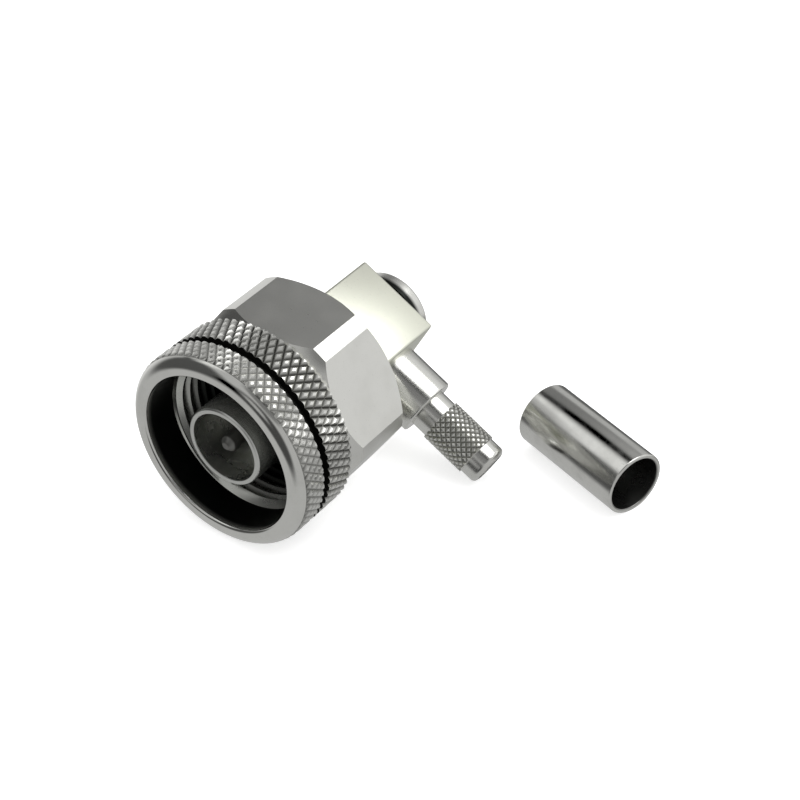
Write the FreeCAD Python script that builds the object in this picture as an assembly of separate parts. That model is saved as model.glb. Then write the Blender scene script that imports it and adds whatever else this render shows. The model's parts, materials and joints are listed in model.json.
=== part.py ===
import FreeCAD, Part
import math
import os
from FreeCAD import Vector

# Right-angle plug of the N series for a 5 mm coaxial cable, with its crimp ferrule lying beside it.
# All sizes are millimetres. Stations run along the mating axis from the union nut's front rim,
# and reaches run along the cable arm from the mating axis.

# Union nut, outside
NUT_BAND_D = 20.0
NUT_CORNER_D = NUT_BAND_D + 0.5
NUT_LENGTH = 15.5
RIM_D = NUT_BAND_D - 0.5
RIM_ROUND = 0.9
RIM_BEVEL_COUNT = 2
GROOVE_START = 3.1
GROOVE_WIDTH = 0.82
GROOVE_DEPTH = 0.8
REAR_BAND_LENGTH = 3.18
LINE_WIDTH = 0.2
HEX_ACROSS_FLATS = NUT_CORNER_D - 2.0
HEX_TURN_DEG = 33.5
HEX_FRONT_CROWN_LENGTH = 1.1
HEX_BACK_CROWN_LENGTH = 1.0
HEX_BACK_CROWN_DEPTH = 1.15

# Knurl of the nut's two bands, with larger points than the real one's
KNURL_POINTS = 40
KNURL_DEPTH = 0.2
KNURL_FRONT_ROWS = 2
KNURL_REAR_ROWS = 3

# Union nut, inside
MOUTH_WALL = 0.0975 * NUT_BAND_D
MOUTH_D = NUT_BAND_D - 2 * MOUTH_WALL
MOUTH_BEVEL = 0.45
MOUTH_DEPTH = 3.75
MOUTH_STEP = 0.03 * NUT_BAND_D
THREAD_MINOR_D = MOUTH_D - 2 * MOUTH_STEP
BACK_WALL = 3.9
SHOULDER_STATION = NUT_LENGTH - BACK_WALL
RELIEF_LENGTH = 1.6
RELIEF_DEPTH = 0.55
RELIEF_D = THREAD_MINOR_D + 2 * RELIEF_DEPTH
THREAD_END = SHOULDER_STATION - RELIEF_LENGTH
BARREL_CLEARANCE = 0.08

# Outer contact and its barrel, which carries the nut
CONTACT_STATION = 1.35
CONTACT_LEAD = 0.15
CONTACT_D = 0.405 * NUT_BAND_D
CONTACT_WALL = 0.55
CONTACT_BORE_D = CONTACT_D - 2 * CONTACT_WALL
FLANGE_THICKNESS = 1.25
FLANGE_PLAY = 0.15
FLANGE_CLEARANCE = 0.15
FLANGE_STEP = 0.35
FLANGE_D = THREAD_MINOR_D - 2 * FLANGE_CLEARANCE
BARREL_D = FLANGE_D - 2 * FLANGE_STEP
BARREL_SETBACK = 0.3
NECK_D = CONTACT_D + 0.1
BORE_STEP_STATION = NUT_LENGTH - 0.5
SPIGOT_WALL = 1.0
SPIGOT_D = NECK_D - 1.0
SPIGOT_LENGTH = 2.5
SPIGOT_BORE_D = SPIGOT_D - 2 * SPIGOT_WALL

# Retaining ring between the barrel and the nut
RING_WALL = 1.15
RING_WIDTH = 1.0
RING_RISE = 0.65
RING_BITE = 0.55
RING_OUTER_D = BARREL_D + 2 * RING_RISE
RING_INNER_D = BARREL_D - 2 * RING_BITE
RING_GAP = 2.4
RING_SIDE_PLAY = 0.2
RING_FLOOR_PLAY = 0.1
RING_ROOF_PLAY = 0.3

# Gasket at the bottom of the nut
GASKET_THICKNESS = 1.2
GASKET_OUTER_D = FLANGE_D - 1.0
GASKET_SEAT_D = CONTACT_D + 0.4
GASKET_SEAT_LEAD = 0.3
GASKET_BEVEL = 0.3
GASKET_PLAY = 0.05

# Centre pin and its bead
PIN_D = 1.6
PIN_STATION = 1.6
PIN_POINT = 0.45
PIN_SHOULDER_D = 3.04
PIN_SHOULDER_LENGTH = 2.0
BEAD_STATION = SHOULDER_STATION - 2.7
PIN_SHOULDER_STATION = BEAD_STATION - PIN_SHOULDER_LENGTH
PIN_STEM_D = 2.2
PIN_SLOT_WIDTH = 0.9
PIN_SLOT_LENGTH = 2.6
PIN_END_PAST_ARM = 1.3

# Elbow block
ELBOW_GAP = 0.5
ELBOW_WIDTH = 9.0
ELBOW_LENGTH = 9.2
ELBOW_CHAMFER = 0.25
ARM_TO_BACK = 4.05
CAVITY_D = 6.5
LINER_BORE_D = 4.0
LINER_WINDOW_D = 2.9
CAP_SEAT_D = 7.4
CAP_SEAT_DEPTH = 1.0

# Back cap
CAP_D = 8.3
CAP_THICKNESS = 1.65
CAP_GAP = 0.35
CAP_CHAMFER = 0.3

# Cable stem
COLLAR_D = 6.0
COLLAR_END = 9.5
COLLAR_CHAMFER = 0.2
STEM_NECK_D = 4.1
KNURL_START = 11.2
KNURL_END = 15.9
KNURL_D = 4.5
STEM_TIP_D = 4.15
STEM_REACH = 17.7
STEM_TIP_CHAMFER = 0.4
STEM_BORE_D = 3.0
STEM_SPIGOT_D = 5.2
STEM_SPIGOT_LENGTH = 1.1
BUSH_D = 3.8
BUSH_LENGTH = 3.2
BUSH_BORE_D = 1.1

# Crimp ferrule and where it lies, measured on the floor from the stem's tip
FERRULE_D = 6.4
FERRULE_BORE_D = 5.5
FERRULE_LENGTH = 13.0
FERRULE_CHAMFER = 0.12
FERRULE_ASIDE_X = 7.0
FERRULE_ASIDE_Y = 6.3
FERRULE_HEADING_DEG = -17.6

# Stations that several pieces share
REFERENCE_STATION = CONTACT_STATION + CONTACT_LEAD
GROOVE_END = GROOVE_START + GROOVE_WIDTH
REAR_BAND_END = GROOVE_END + REAR_BAND_LENGTH
HEX_STATION = REAR_BAND_END + LINE_WIDTH
FLANGE_BACK = SHOULDER_STATION - FLANGE_PLAY
FLANGE_FRONT = FLANGE_BACK - FLANGE_THICKNESS
GASKET_FRONT = FLANGE_FRONT - GASKET_THICKNESS
RING_STATION = SHOULDER_STATION + RING_WALL
ELBOW_FRONT = NUT_LENGTH + ELBOW_GAP
ELBOW_BACK = ELBOW_FRONT + ELBOW_LENGTH
ARM_STATION = ELBOW_BACK - ARM_TO_BACK
SPIGOT_END = ELBOW_FRONT + SPIGOT_LENGTH
CAP_SEAT_STATION = ELBOW_BACK - CAP_SEAT_DEPTH
SIDE_FACE = ELBOW_WIDTH / 2
STEM_ROOT = SIDE_FACE - STEM_SPIGOT_LENGTH

# The plug lies on the nut's bands and the corner behind the stem's tip, which sets the arm's dip.
FLOOR_DEPTH = NUT_BAND_D / 2
TIP_REST = STEM_REACH - STEM_TIP_CHAMFER
TIP_RADIUS = STEM_TIP_D / 2
ARM_DIP = math.asin(FLOOR_DEPTH / math.hypot(TIP_REST, TIP_RADIUS)) - math.atan2(TIP_RADIUS, TIP_REST)

ORIGIN = Vector(0, 0, 0)
Y_AXIS = Vector(0, 1, 0)
Z_AXIS = Vector(0, 0, 1)


def at(diameter, station):
    """A corner of a turned outline, on the given diameter."""
    return Vector(diameter / 2, station, 0)


def rounded_front(diameter, size, bevels):
    """Corners of a round edge at station 0, turned as a few short bevels."""
    turns = [math.radians(90 * step / bevels) for step in range(bevels + 1)]
    return [at(diameter - 2 * size * (1 - math.sin(a)), size * (1 - math.cos(a))) for a in turns]


def turned(corners):
    """Solid turned about the mating axis from the corners of its half section."""
    section = Part.Face(Part.makePolygon(corners + corners[:1]))
    return section.revolve(ORIGIN, Y_AXIS, 360)


def rod(diameter, start, end):
    """Plain cylinder on the mating axis between two stations."""
    return Part.makeCylinder(diameter / 2, end - start, Vector(0, start, 0), Y_AXIS)


def on_arm(shape):
    """Turns a piece made on the mating axis onto the cable arm."""
    placed = shape.copy()
    placed.rotate(ORIGIN, Z_AXIS, -90)
    placed.translate(Vector(0, ARM_STATION, 0))
    return placed


def referenced(shape):
    """Moves stations so that the outer contact's reference plane is at zero."""
    placed = shape.copy()
    placed.translate(Vector(0, -REFERENCE_STATION, 0))
    return placed


def laid_down(shape):
    """Rolls a piece of the plug about the mating axis until the stem's tip meets the floor."""
    placed = referenced(shape)
    placed.rotate(ORIGIN, Y_AXIS, math.degrees(ARM_DIP))
    return placed


def ball(front, back):
    """Ball about the mating axis through two corners of an outline."""
    centre = (back.dot(back) - front.dot(front)) / (2 * (back.y - front.y))
    middle = Vector(0, centre, 0)
    return Part.makeSphere(front.distanceToPoint(middle), middle)


def triangle(*corners):
    """Flat face between three corners."""
    return Part.Face(Part.makePolygon([*corners, corners[0]]))


def knurl_row(station, shift):
    """Corners once round a knurled band, where crests and valleys take turns."""
    radii = (NUT_BAND_D / 2, NUT_BAND_D / 2 - KNURL_DEPTH)
    corners = []
    for turn in range(2 * KNURL_POINTS):
        angle = math.pi * turn / KNURL_POINTS
        radius = radii[(turn + shift) % 2]
        corners.append(Vector(radius * math.sin(angle), station, radius * math.cos(angle)))
    return corners


def knurl_net(front, back, shift):
    """Flanks of the four-sided points between two rows, with each valley joined to the next."""
    flanks = []
    for turn in range(len(front)):
        square = [front[turn - 1], front[turn], back[turn], back[turn - 1]]
        first = (turn - 1 + shift) % 2
        crest, valley, other_crest, other_valley = square[first:] + square[:first]
        flanks.append(triangle(crest, valley, other_valley))
        flanks.append(triangle(other_crest, other_valley, valley))
    return flanks


def knurled_drum(start, end, row_count):
    """Solid drum with a diamond knurl all round it."""
    stations = [start + (end - start) * row / row_count for row in range(row_count + 1)]
    rows = [knurl_row(station, shift) for shift, station in enumerate(stations)]
    faces = [Part.Face(Part.makePolygon(row + row[:1])) for row in (rows[0], rows[-1])]
    for shift in range(row_count):
        faces += knurl_net(rows[shift], rows[shift + 1], shift)
    return Part.makeSolid(Part.makeShell(faces))


def hexagon():
    """Hexagon of the nut, its corners and both its ends turned before the flats are milled."""
    corner_radius = HEX_ACROSS_FLATS / 2 / math.cos(math.radians(30))
    angles = [math.radians(HEX_TURN_DEG + 60 * turn) for turn in range(7)]
    corners = [Vector(corner_radius * math.sin(a), HEX_STATION, corner_radius * math.cos(a)) for a in angles]
    prism = Part.Face(Part.makePolygon(corners)).extrude(Vector(0, NUT_LENGTH - HEX_STATION, 0))
    front = at(NUT_BAND_D - 2 * GROOVE_DEPTH, HEX_STATION)
    front_corner = at(NUT_CORNER_D, HEX_STATION + HEX_FRONT_CROWN_LENGTH)
    back_corner = at(NUT_CORNER_D, NUT_LENGTH - HEX_BACK_CROWN_LENGTH)
    back = at(NUT_CORNER_D - 2 * HEX_BACK_CROWN_DEPTH, NUT_LENGTH)
    blank = rod(NUT_CORNER_D, HEX_STATION, NUT_LENGTH)
    return prism.common(blank).common(ball(front, front_corner)).common(ball(back_corner, back))


def nut_bore():
    """What is bored out of the nut: bevelled mouth, thread, relief, ring room and running bore."""
    back_bore_d = BARREL_D + 2 * BARREL_CLEARANCE
    ring_room_d = RING_OUTER_D + 2 * RING_ROOF_PLAY
    ring_room_front = RING_STATION - RING_SIDE_PLAY
    ring_room_back = RING_STATION + RING_WIDTH + RING_SIDE_PLAY
    return turned([
        at(0, 0),
        at(MOUTH_D + 2 * MOUTH_BEVEL, 0),
        at(MOUTH_D, MOUTH_BEVEL),
        at(MOUTH_D, MOUTH_DEPTH),
        at(THREAD_MINOR_D, MOUTH_DEPTH + MOUTH_STEP),
        at(THREAD_MINOR_D, THREAD_END),
        at(RELIEF_D, THREAD_END),
        at(RELIEF_D, SHOULDER_STATION),
        at(back_bore_d, SHOULDER_STATION),
        at(back_bore_d, ring_room_front),
        at(ring_room_d, ring_room_front),
        at(ring_room_d, ring_room_back),
        at(back_bore_d, ring_room_back),
        at(back_bore_d, NUT_LENGTH),
        at(0, NUT_LENGTH),
    ])


def coupling_nut():
    """Union nut: rounded rim, two knurled bands with a groove between them, and the hexagon."""
    core_d = NUT_BAND_D - 2 * GROOVE_DEPTH
    rim = rounded_front(RIM_D, RIM_ROUND, RIM_BEVEL_COUNT)
    core = turned([at(0, 0)] + rim + [at(core_d, RIM_ROUND), at(core_d, HEX_STATION), at(0, HEX_STATION)])
    front_band = knurled_drum(RIM_ROUND, GROOVE_START, KNURL_FRONT_ROWS)
    rear_band = knurled_drum(GROOVE_END, REAR_BAND_END, KNURL_REAR_ROWS)
    return core.fuse([front_band, rear_band, hexagon()]).cut(nut_bore())


def outer_contact():
    """Plug body: contact sleeve, thrust flange, barrel with the ring's groove, and the spigot."""
    lead_d = CONTACT_D - 2 * CONTACT_LEAD
    barrel_end = NUT_LENGTH - BARREL_SETBACK
    ring_floor_d = RING_INNER_D - 2 * RING_FLOOR_PLAY
    ring_groove_end = RING_STATION + RING_WIDTH + RING_SIDE_PLAY
    return turned([
        at(CONTACT_BORE_D, CONTACT_STATION),
        at(lead_d, CONTACT_STATION),
        at(CONTACT_D, REFERENCE_STATION),
        at(CONTACT_D, GASKET_FRONT - GASKET_SEAT_LEAD),
        at(GASKET_SEAT_D, GASKET_FRONT - GASKET_SEAT_LEAD),
        at(GASKET_SEAT_D, FLANGE_FRONT),
        at(FLANGE_D, FLANGE_FRONT),
        at(FLANGE_D, FLANGE_BACK),
        at(BARREL_D, FLANGE_BACK),
        at(BARREL_D, RING_STATION),
        at(ring_floor_d, RING_STATION),
        at(ring_floor_d, ring_groove_end),
        at(BARREL_D, ring_groove_end),
        at(BARREL_D, barrel_end),
        at(NECK_D, barrel_end),
        at(NECK_D, ELBOW_FRONT),
        at(SPIGOT_D, ELBOW_FRONT),
        at(SPIGOT_D, SPIGOT_END),
        at(SPIGOT_BORE_D, SPIGOT_END),
        at(SPIGOT_BORE_D, BORE_STEP_STATION),
        at(CONTACT_BORE_D, BORE_STEP_STATION),
    ])


def retaining_ring():
    """Split spring ring, seated against the front wall of the barrel's groove."""
    ring_end = RING_STATION + RING_WIDTH
    ring = rod(RING_OUTER_D, RING_STATION, ring_end).cut(rod(RING_INNER_D, RING_STATION, ring_end))
    corner = Vector(-RING_OUTER_D, RING_STATION - 1, -RING_GAP / 2)
    gap = Part.makeBox(RING_OUTER_D, RING_WIDTH + 2, RING_GAP, corner)
    return ring.cut(gap)


def sealing_gasket():
    """Rubber ring with a bevelled front edge, seated on the flange."""
    inner_d = GASKET_SEAT_D + 2 * GASKET_PLAY
    bevel_end = GASKET_FRONT + GASKET_BEVEL
    return turned([
        at(inner_d, FLANGE_FRONT),
        at(inner_d, GASKET_FRONT),
        at(GASKET_OUTER_D - 2 * GASKET_BEVEL, GASKET_FRONT),
        at(GASKET_OUTER_D, bevel_end),
        at(GASKET_OUTER_D, FLANGE_FRONT),
    ])


def front_insulator():
    """Plastic bead between the sleeve's bore and the pin, against the bore's step."""
    bead = rod(CONTACT_BORE_D, BEAD_STATION, BORE_STEP_STATION)
    return bead.cut(rod(PIN_STEM_D, BEAD_STATION, BORE_STEP_STATION))


def centre_pin():
    """Stepped pin: bevelled point, shoulder against the bead, and a slotted end over the arm."""
    pin_end = ARM_STATION + PIN_END_PAST_ARM
    pin = turned([
        at(0, PIN_STATION),
        at(PIN_D - 2 * PIN_POINT, PIN_STATION),
        at(PIN_D, PIN_STATION + PIN_POINT),
        at(PIN_D, PIN_SHOULDER_STATION),
        at(PIN_SHOULDER_D, PIN_SHOULDER_STATION),
        at(PIN_SHOULDER_D, BEAD_STATION),
        at(PIN_STEM_D, BEAD_STATION),
        at(PIN_STEM_D, pin_end),
        at(0, pin_end),
    ])
    corner = Vector(-PIN_STEM_D, pin_end - PIN_SLOT_LENGTH, -PIN_SLOT_WIDTH / 2)
    slot = Part.makeBox(2 * PIN_STEM_D, PIN_SLOT_LENGTH + 1, PIN_SLOT_WIDTH, corner)
    return pin.cut(slot)


def elbow_housing():
    """Square block with chamfered edges, bored through for the pin and from the side for the stem."""
    half = ELBOW_WIDTH / 2
    block = Part.makeBox(ELBOW_WIDTH, ELBOW_LENGTH, ELBOW_WIDTH, Vector(-half, ELBOW_FRONT, -half))
    block = block.makeChamfer(ELBOW_CHAMFER, block.Edges)
    bores = rod(CAVITY_D, SPIGOT_END, CAP_SEAT_STATION)
    bores = bores.fuse(rod(SPIGOT_D, ELBOW_FRONT - 1, SPIGOT_END))
    bores = bores.fuse(rod(CAP_SEAT_D, CAP_SEAT_STATION, ELBOW_BACK + 1))
    side = on_arm(rod(STEM_SPIGOT_D, 0, SIDE_FACE + 1))
    return block.cut(bores).cut(side)


def elbow_insulator():
    """Plastic liner of the elbow's cavity, with a window towards the cable."""
    liner = rod(CAVITY_D, SPIGOT_END, CAP_SEAT_STATION)
    bore = rod(LINER_BORE_D, SPIGOT_END, CAP_SEAT_STATION)
    window = on_arm(rod(LINER_WINDOW_D, 0, SIDE_FACE))
    return liner.cut(bore).cut(window)


def cable_stem():
    """Collar, neck, knurled length and smooth bevelled tip, bored for the cable's insulation."""
    bush_end = STEM_ROOT + BUSH_LENGTH
    return on_arm(turned([
        at(STEM_BORE_D, bush_end),
        at(BUSH_D, bush_end),
        at(BUSH_D, STEM_ROOT),
        at(STEM_SPIGOT_D, STEM_ROOT),
        at(STEM_SPIGOT_D, SIDE_FACE),
        at(COLLAR_D, SIDE_FACE),
        at(COLLAR_D, COLLAR_END - COLLAR_CHAMFER),
        at(COLLAR_D - 2 * COLLAR_CHAMFER, COLLAR_END),
        at(STEM_NECK_D, COLLAR_END),
        at(STEM_NECK_D, KNURL_START),
        at(KNURL_D, KNURL_START),
        at(KNURL_D, KNURL_END),
        at(STEM_TIP_D, KNURL_END),
        at(STEM_TIP_D, TIP_REST),
        at(STEM_TIP_D - 2 * STEM_TIP_CHAMFER, STEM_REACH),
        at(STEM_BORE_D, STEM_REACH),
    ])).cut(rod(CAVITY_D, SPIGOT_END, CAP_SEAT_STATION))


def stem_insulator():
    """Plastic bush seated in the root of the stem, at the bottom of the cable's bore."""
    bush = rod(BUSH_D, STEM_ROOT, STEM_ROOT + BUSH_LENGTH)
    return on_arm(bush.cut(rod(BUSH_BORE_D, STEM_ROOT, STEM_ROOT + BUSH_LENGTH)))


def back_cap():
    """Round cap whose spigot is pressed into the back of the elbow, its disc just clear of the block."""
    disc_front = ELBOW_BACK + CAP_GAP
    disc_back = disc_front + CAP_THICKNESS
    return turned([
        at(0, CAP_SEAT_STATION),
        at(CAP_SEAT_D, CAP_SEAT_STATION),
        at(CAP_SEAT_D, disc_front),
        at(CAP_D, disc_front),
        at(CAP_D, disc_back - CAP_CHAMFER),
        at(CAP_D - 2 * CAP_CHAMFER, disc_back),
        at(0, disc_back),
    ])


def crimp_ferrule():
    """Thin tube, lying on the floor beside the stem's tip."""
    outer_end_d = FERRULE_D - 2 * FERRULE_CHAMFER
    tube = turned([
        at(FERRULE_BORE_D, 0),
        at(outer_end_d, 0),
        at(FERRULE_D, FERRULE_CHAMFER),
        at(FERRULE_D, FERRULE_LENGTH - FERRULE_CHAMFER),
        at(outer_end_d, FERRULE_LENGTH),
        at(FERRULE_BORE_D, FERRULE_LENGTH),
    ])
    tube.translate(Vector(0, -FERRULE_LENGTH / 2, 0))
    tube.rotate(ORIGIN, Z_AXIS, FERRULE_HEADING_DEG - 90)
    tip_x = STEM_REACH * math.cos(ARM_DIP)
    height = FERRULE_D / 2 - FLOOR_DEPTH
    tube.translate(Vector(tip_x + FERRULE_ASIDE_X, ARM_STATION + FERRULE_ASIDE_Y, height))
    return referenced(tube)


def main():
    """Builds every piece and writes one file for each."""
    pieces = {
        "coupling_nut": referenced(coupling_nut()),
        "retaining_ring": laid_down(retaining_ring()),
        "sealing_gasket": laid_down(sealing_gasket()),
        "outer_contact": laid_down(outer_contact()),
        "front_insulator": laid_down(front_insulator()),
        "centre_pin": laid_down(centre_pin()),
        "elbow_housing": laid_down(elbow_housing()),
        "elbow_insulator": laid_down(elbow_insulator()),
        "cable_stem": laid_down(cable_stem()),
        "stem_insulator": laid_down(stem_insulator()),
        "back_cap": laid_down(back_cap()),
        "crimp_ferrule": crimp_ferrule(),
    }
    os.makedirs("parts", exist_ok=True)
    for name, shape in pieces.items():
        shape.exportStep(f"parts/{name}.step")
        print(f"{name}: {len(shape.Solids)} solid, {shape.Volume:.1f} mm3, valid {shape.isValid()}")
    print(f"arm dips {math.degrees(ARM_DIP):.2f} degrees")


main()
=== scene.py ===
"""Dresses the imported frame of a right-angle coaxial plug and its loose crimp ferrule.

The turned, knurled, threaded and milled pieces are built finely over the frame's own sizes,
every finish is a procedural material, and a plain pale studio lights them.
"""

import json
import logging
import math
from abc import ABC, abstractmethod
from collections.abc import Callable, Sequence
from dataclasses import dataclass, field
from enum import Enum
from functools import partial
from typing import Any, ClassVar, Union

import bmesh
import bpy
from mathutils import Euler, Matrix, Vector


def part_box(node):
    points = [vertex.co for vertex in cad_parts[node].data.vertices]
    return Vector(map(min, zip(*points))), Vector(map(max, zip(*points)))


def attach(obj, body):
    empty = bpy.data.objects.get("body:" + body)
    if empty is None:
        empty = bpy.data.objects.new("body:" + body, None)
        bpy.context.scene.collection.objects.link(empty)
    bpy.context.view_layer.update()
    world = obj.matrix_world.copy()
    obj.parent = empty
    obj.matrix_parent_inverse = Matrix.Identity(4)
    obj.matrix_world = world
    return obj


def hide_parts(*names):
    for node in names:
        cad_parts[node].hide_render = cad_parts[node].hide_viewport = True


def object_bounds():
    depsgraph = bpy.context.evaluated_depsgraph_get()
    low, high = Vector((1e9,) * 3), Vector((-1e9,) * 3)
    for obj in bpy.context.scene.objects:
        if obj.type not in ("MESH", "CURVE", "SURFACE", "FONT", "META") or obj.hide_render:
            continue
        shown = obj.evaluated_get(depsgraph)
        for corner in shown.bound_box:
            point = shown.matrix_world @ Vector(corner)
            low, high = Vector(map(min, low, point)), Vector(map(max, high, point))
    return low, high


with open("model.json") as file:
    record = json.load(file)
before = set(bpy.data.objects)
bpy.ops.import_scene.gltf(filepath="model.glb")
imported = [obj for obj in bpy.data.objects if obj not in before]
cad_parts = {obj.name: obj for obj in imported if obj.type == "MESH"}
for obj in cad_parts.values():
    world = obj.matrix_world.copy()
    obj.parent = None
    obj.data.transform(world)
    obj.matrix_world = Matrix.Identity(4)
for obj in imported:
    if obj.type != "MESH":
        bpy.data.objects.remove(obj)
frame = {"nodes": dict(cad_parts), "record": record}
CAD_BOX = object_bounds()

LOG = logging.getLogger("plug")
MM = 0.001
SAME = 1e-4
Colour = tuple[float, float, float]
Point = tuple[float, float]
Number = Union[float, "Wire"]


# Places read from the frame

@dataclass(frozen=True)
class Seat:
    """Where a piece sits: its own +Y axis is laid along an axis of the frame.

    Attributes:
        origin: the piece's station 0, in metres.
        axis: the direction of growing stations.
        roll: turn about that axis, in radians.
    """

    origin: tuple[float, float, float] = (0.0, 0.0, 0.0)
    axis: tuple[float, float, float] = (0.0, 1.0, 0.0)
    roll: float = 0.0

    def matrix(self) -> Matrix:
        """The matrix from the piece's own frame to the row frame."""
        turn = Vector(self.axis).to_track_quat("Y", "Z").to_matrix().to_4x4()
        return Matrix.Translation(self.origin) @ turn @ Matrix.Rotation(self.roll, 4, "Y")


@dataclass(frozen=True)
class Layout:
    """The axes that the pieces share, worked out from the frame's boxes and mounts."""

    nut: Seat
    plug: Seat
    arm: Seat
    ferrule: Seat
    floor: float

    @classmethod
    def read(cls, crimp_reach: float = 13.5) -> "Layout":
        """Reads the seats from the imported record.

        Args:
            crimp_reach: reach of the crimp seat's mount from the mating axis, in mm.

        Returns:
            The layout of the plug, its cable arm and the ferrule.
        """
        mounts = {mount["name"]: mount for mount in frame["record"]["mounts"]}
        front = (0.0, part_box("coupling_nut")[0][1], 0.0)
        arm_axis = Vector(mounts["crimp_seat"]["axis"]).normalized()
        arm_foot = Vector(mounts["crimp_seat"]["pos_m"]) - arm_axis * crimp_reach * MM
        tube = mounts["ferrule_bore"]
        return cls(
            nut=Seat(front),
            plug=Seat(front, roll=math.atan2(-arm_axis.z, arm_axis.x)),
            arm=Seat(tuple(arm_foot), tuple(arm_axis)),
            ferrule=Seat(tuple(tube["pos_m"]), tuple(tube["axis"])),
            floor=CAD_BOX[0][2],
        )


# Node building

class Graph:
    """Adds nodes to one node tree."""

    def __init__(self, tree: bpy.types.NodeTree) -> None:
        """Keeps the tree that nodes are added to."""
        self.tree = tree

    def add(
        self,
        kind: str,
        settings: dict[str, Any] | None = None,
        sockets: dict[str | int, Any] | None = None,
    ) -> bpy.types.Node:
        """Adds one node.

        Args:
            kind: the node's type name.
            settings: properties that are set first.
            sockets: values or links of its inputs, by name or number.

        Returns:
            The new node.
        """
        node = self.tree.nodes.new(kind)
        for name, value in (settings or {}).items():
            setattr(node, name, value)
        for key, value in (sockets or {}).items():
            self.feed(node.inputs[key], value)
        return node

    def feed(self, socket: bpy.types.NodeSocket, value: Any) -> None:
        """Links a wire or an output to an input, or sets a plain value on it.

        Args:
            socket: the input.
            value: a wire, an output socket or a plain value.
        """
        if isinstance(value, Wire):
            self.tree.links.new(value.socket, socket)
        elif isinstance(value, bpy.types.NodeSocket):
            self.tree.links.new(value, socket)
        else:
            socket.default_value = value

    def wire(self, kind: str, output: str | int = 0, **parts: Any) -> "Wire":
        """Adds a node and returns one of its outputs.

        Args:
            kind: the node's type name.
            output: name or number of the output.
            **parts: settings and sockets, as add takes them.

        Returns:
            The output as a wire.
        """
        return Wire(self, self.add(kind, **parts).outputs[output])

    def split(self, vector: Any) -> list["Wire"]:
        """The three parts of a vector."""
        node = self.add("ShaderNodeSeparateXYZ", sockets={"Vector": vector})
        return [Wire(self, output) for output in node.outputs]

    def vector(self, *parts: Any) -> "Wire":
        """A vector of up to three parts, 0 where none is given."""
        return self.wire("ShaderNodeCombineXYZ", sockets=dict(enumerate(parts)))


class Wire:
    """A value that a node gives. Arithmetic on it adds Math nodes."""

    def __init__(self, graph: Graph, socket: bpy.types.NodeSocket) -> None:
        """Wraps an output socket."""
        self.graph = graph
        self.socket = socket

    def math(self, operation: str, *terms: Number) -> "Wire":
        """Adds a Math node.

        Args:
            operation: the Math node's operation.
            *terms: its inputs in order, wires or numbers.

        Returns:
            The result as a wire.
        """
        settings = {"operation": operation}
        sockets = dict(enumerate(terms))
        return self.graph.wire("ShaderNodeMath", settings=settings, sockets=sockets)

    def __add__(self, other: Number) -> "Wire":
        """Sum."""
        return self.math("ADD", self, other)

    def __radd__(self, other: Number) -> "Wire":
        """Sum with the wire on the right."""
        return self.math("ADD", other, self)

    def __sub__(self, other: Number) -> "Wire":
        """Difference."""
        return self.math("SUBTRACT", self, other)

    def __rsub__(self, other: Number) -> "Wire":
        """Difference with the wire on the right."""
        return self.math("SUBTRACT", other, self)

    def __mul__(self, other: Number) -> "Wire":
        """Product."""
        return self.math("MULTIPLY", self, other)

    def __rmul__(self, other: Number) -> "Wire":
        """Product with the wire on the right."""
        return self.math("MULTIPLY", other, self)

    def __truediv__(self, other: Number) -> "Wire":
        """Quotient."""
        return self.math("DIVIDE", self, other)

    def __rtruediv__(self, other: Number) -> "Wire":
        """Quotient with the wire on the right."""
        return self.math("DIVIDE", other, self)

    def __mod__(self, other: Number) -> "Wire":
        """Remainder."""
        return self.math("MODULO", self, other)

    def __gt__(self, other: Number) -> "Wire":
        """1 where the wire is larger, otherwise 0."""
        return self.math("GREATER_THAN", self, other)

    def floor(self) -> "Wire":
        """Next whole number down."""
        return self.math("FLOOR", self)

    def fraction(self) -> "Wire":
        """What is left above the next whole number down."""
        return self.math("FRACT", self)

    def root(self) -> "Wire":
        """Square root."""
        return self.math("SQRT", self)

    def sine(self) -> "Wire":
        """Sine of an angle in radians."""
        return self.math("SINE", self)

    def cosine(self) -> "Wire":
        """Cosine of an angle in radians."""
        return self.math("COSINE", self)

    def tangent(self) -> "Wire":
        """Tangent of an angle in radians."""
        return self.math("TANGENT", self)

    def lowest(self, other: Number) -> "Wire":
        """The smaller of the two."""
        return self.math("MINIMUM", self, other)

    def highest(self, other: Number) -> "Wire":
        """The larger of the two."""
        return self.math("MAXIMUM", self, other)

    def ramp(self, start: Number, end: Number) -> "Wire":
        """A smooth step over this value.

        Args:
            start: where it leaves 0.
            end: where it reaches 1.

        Returns:
            The step as a wire.
        """
        settings = {"interpolation_type": "SMOOTHSTEP"}
        sockets = {"Value": self, "From Min": start, "From Max": end}
        return self.graph.wire("ShaderNodeMapRange", settings=settings, sockets=sockets)


# Finishes

class Grain(Enum):
    """How a metal surface was worked, and so which way its fine lines run."""

    TURNED = "round the piece's own axis"
    DRAWN = "along the piece's own axis"
    MILLED = "straight strokes across the axis"


@dataclass(frozen=True)
class Finish(ABC):
    """A material, made once and put on pieces."""

    name: str
    colour: Colour
    roughness: float

    @abstractmethod
    def shade(self, graph: Graph, shader: bpy.types.Node) -> None:
        """Adds the finish's own nodes and links them to the shader.

        Args:
            graph: the material's node tree.
            shader: its Principled BSDF.
        """

    def make(self) -> bpy.types.Material:
        """Builds the material.

        Returns:
            A material with procedural nodes.
        """
        material = bpy.data.materials.new(self.name)
        material.use_nodes = True
        material.diffuse_color = (*self.colour, 1.0)
        material.node_tree.nodes.clear()
        graph = Graph(material.node_tree)
        shader = graph.add("ShaderNodeBsdfPrincipled", sockets={"Base Color": (*self.colour, 1.0)})
        graph.add("ShaderNodeOutputMaterial", sockets={"Surface": shader.outputs[0]})
        self.shade(graph, shader)
        return material


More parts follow.
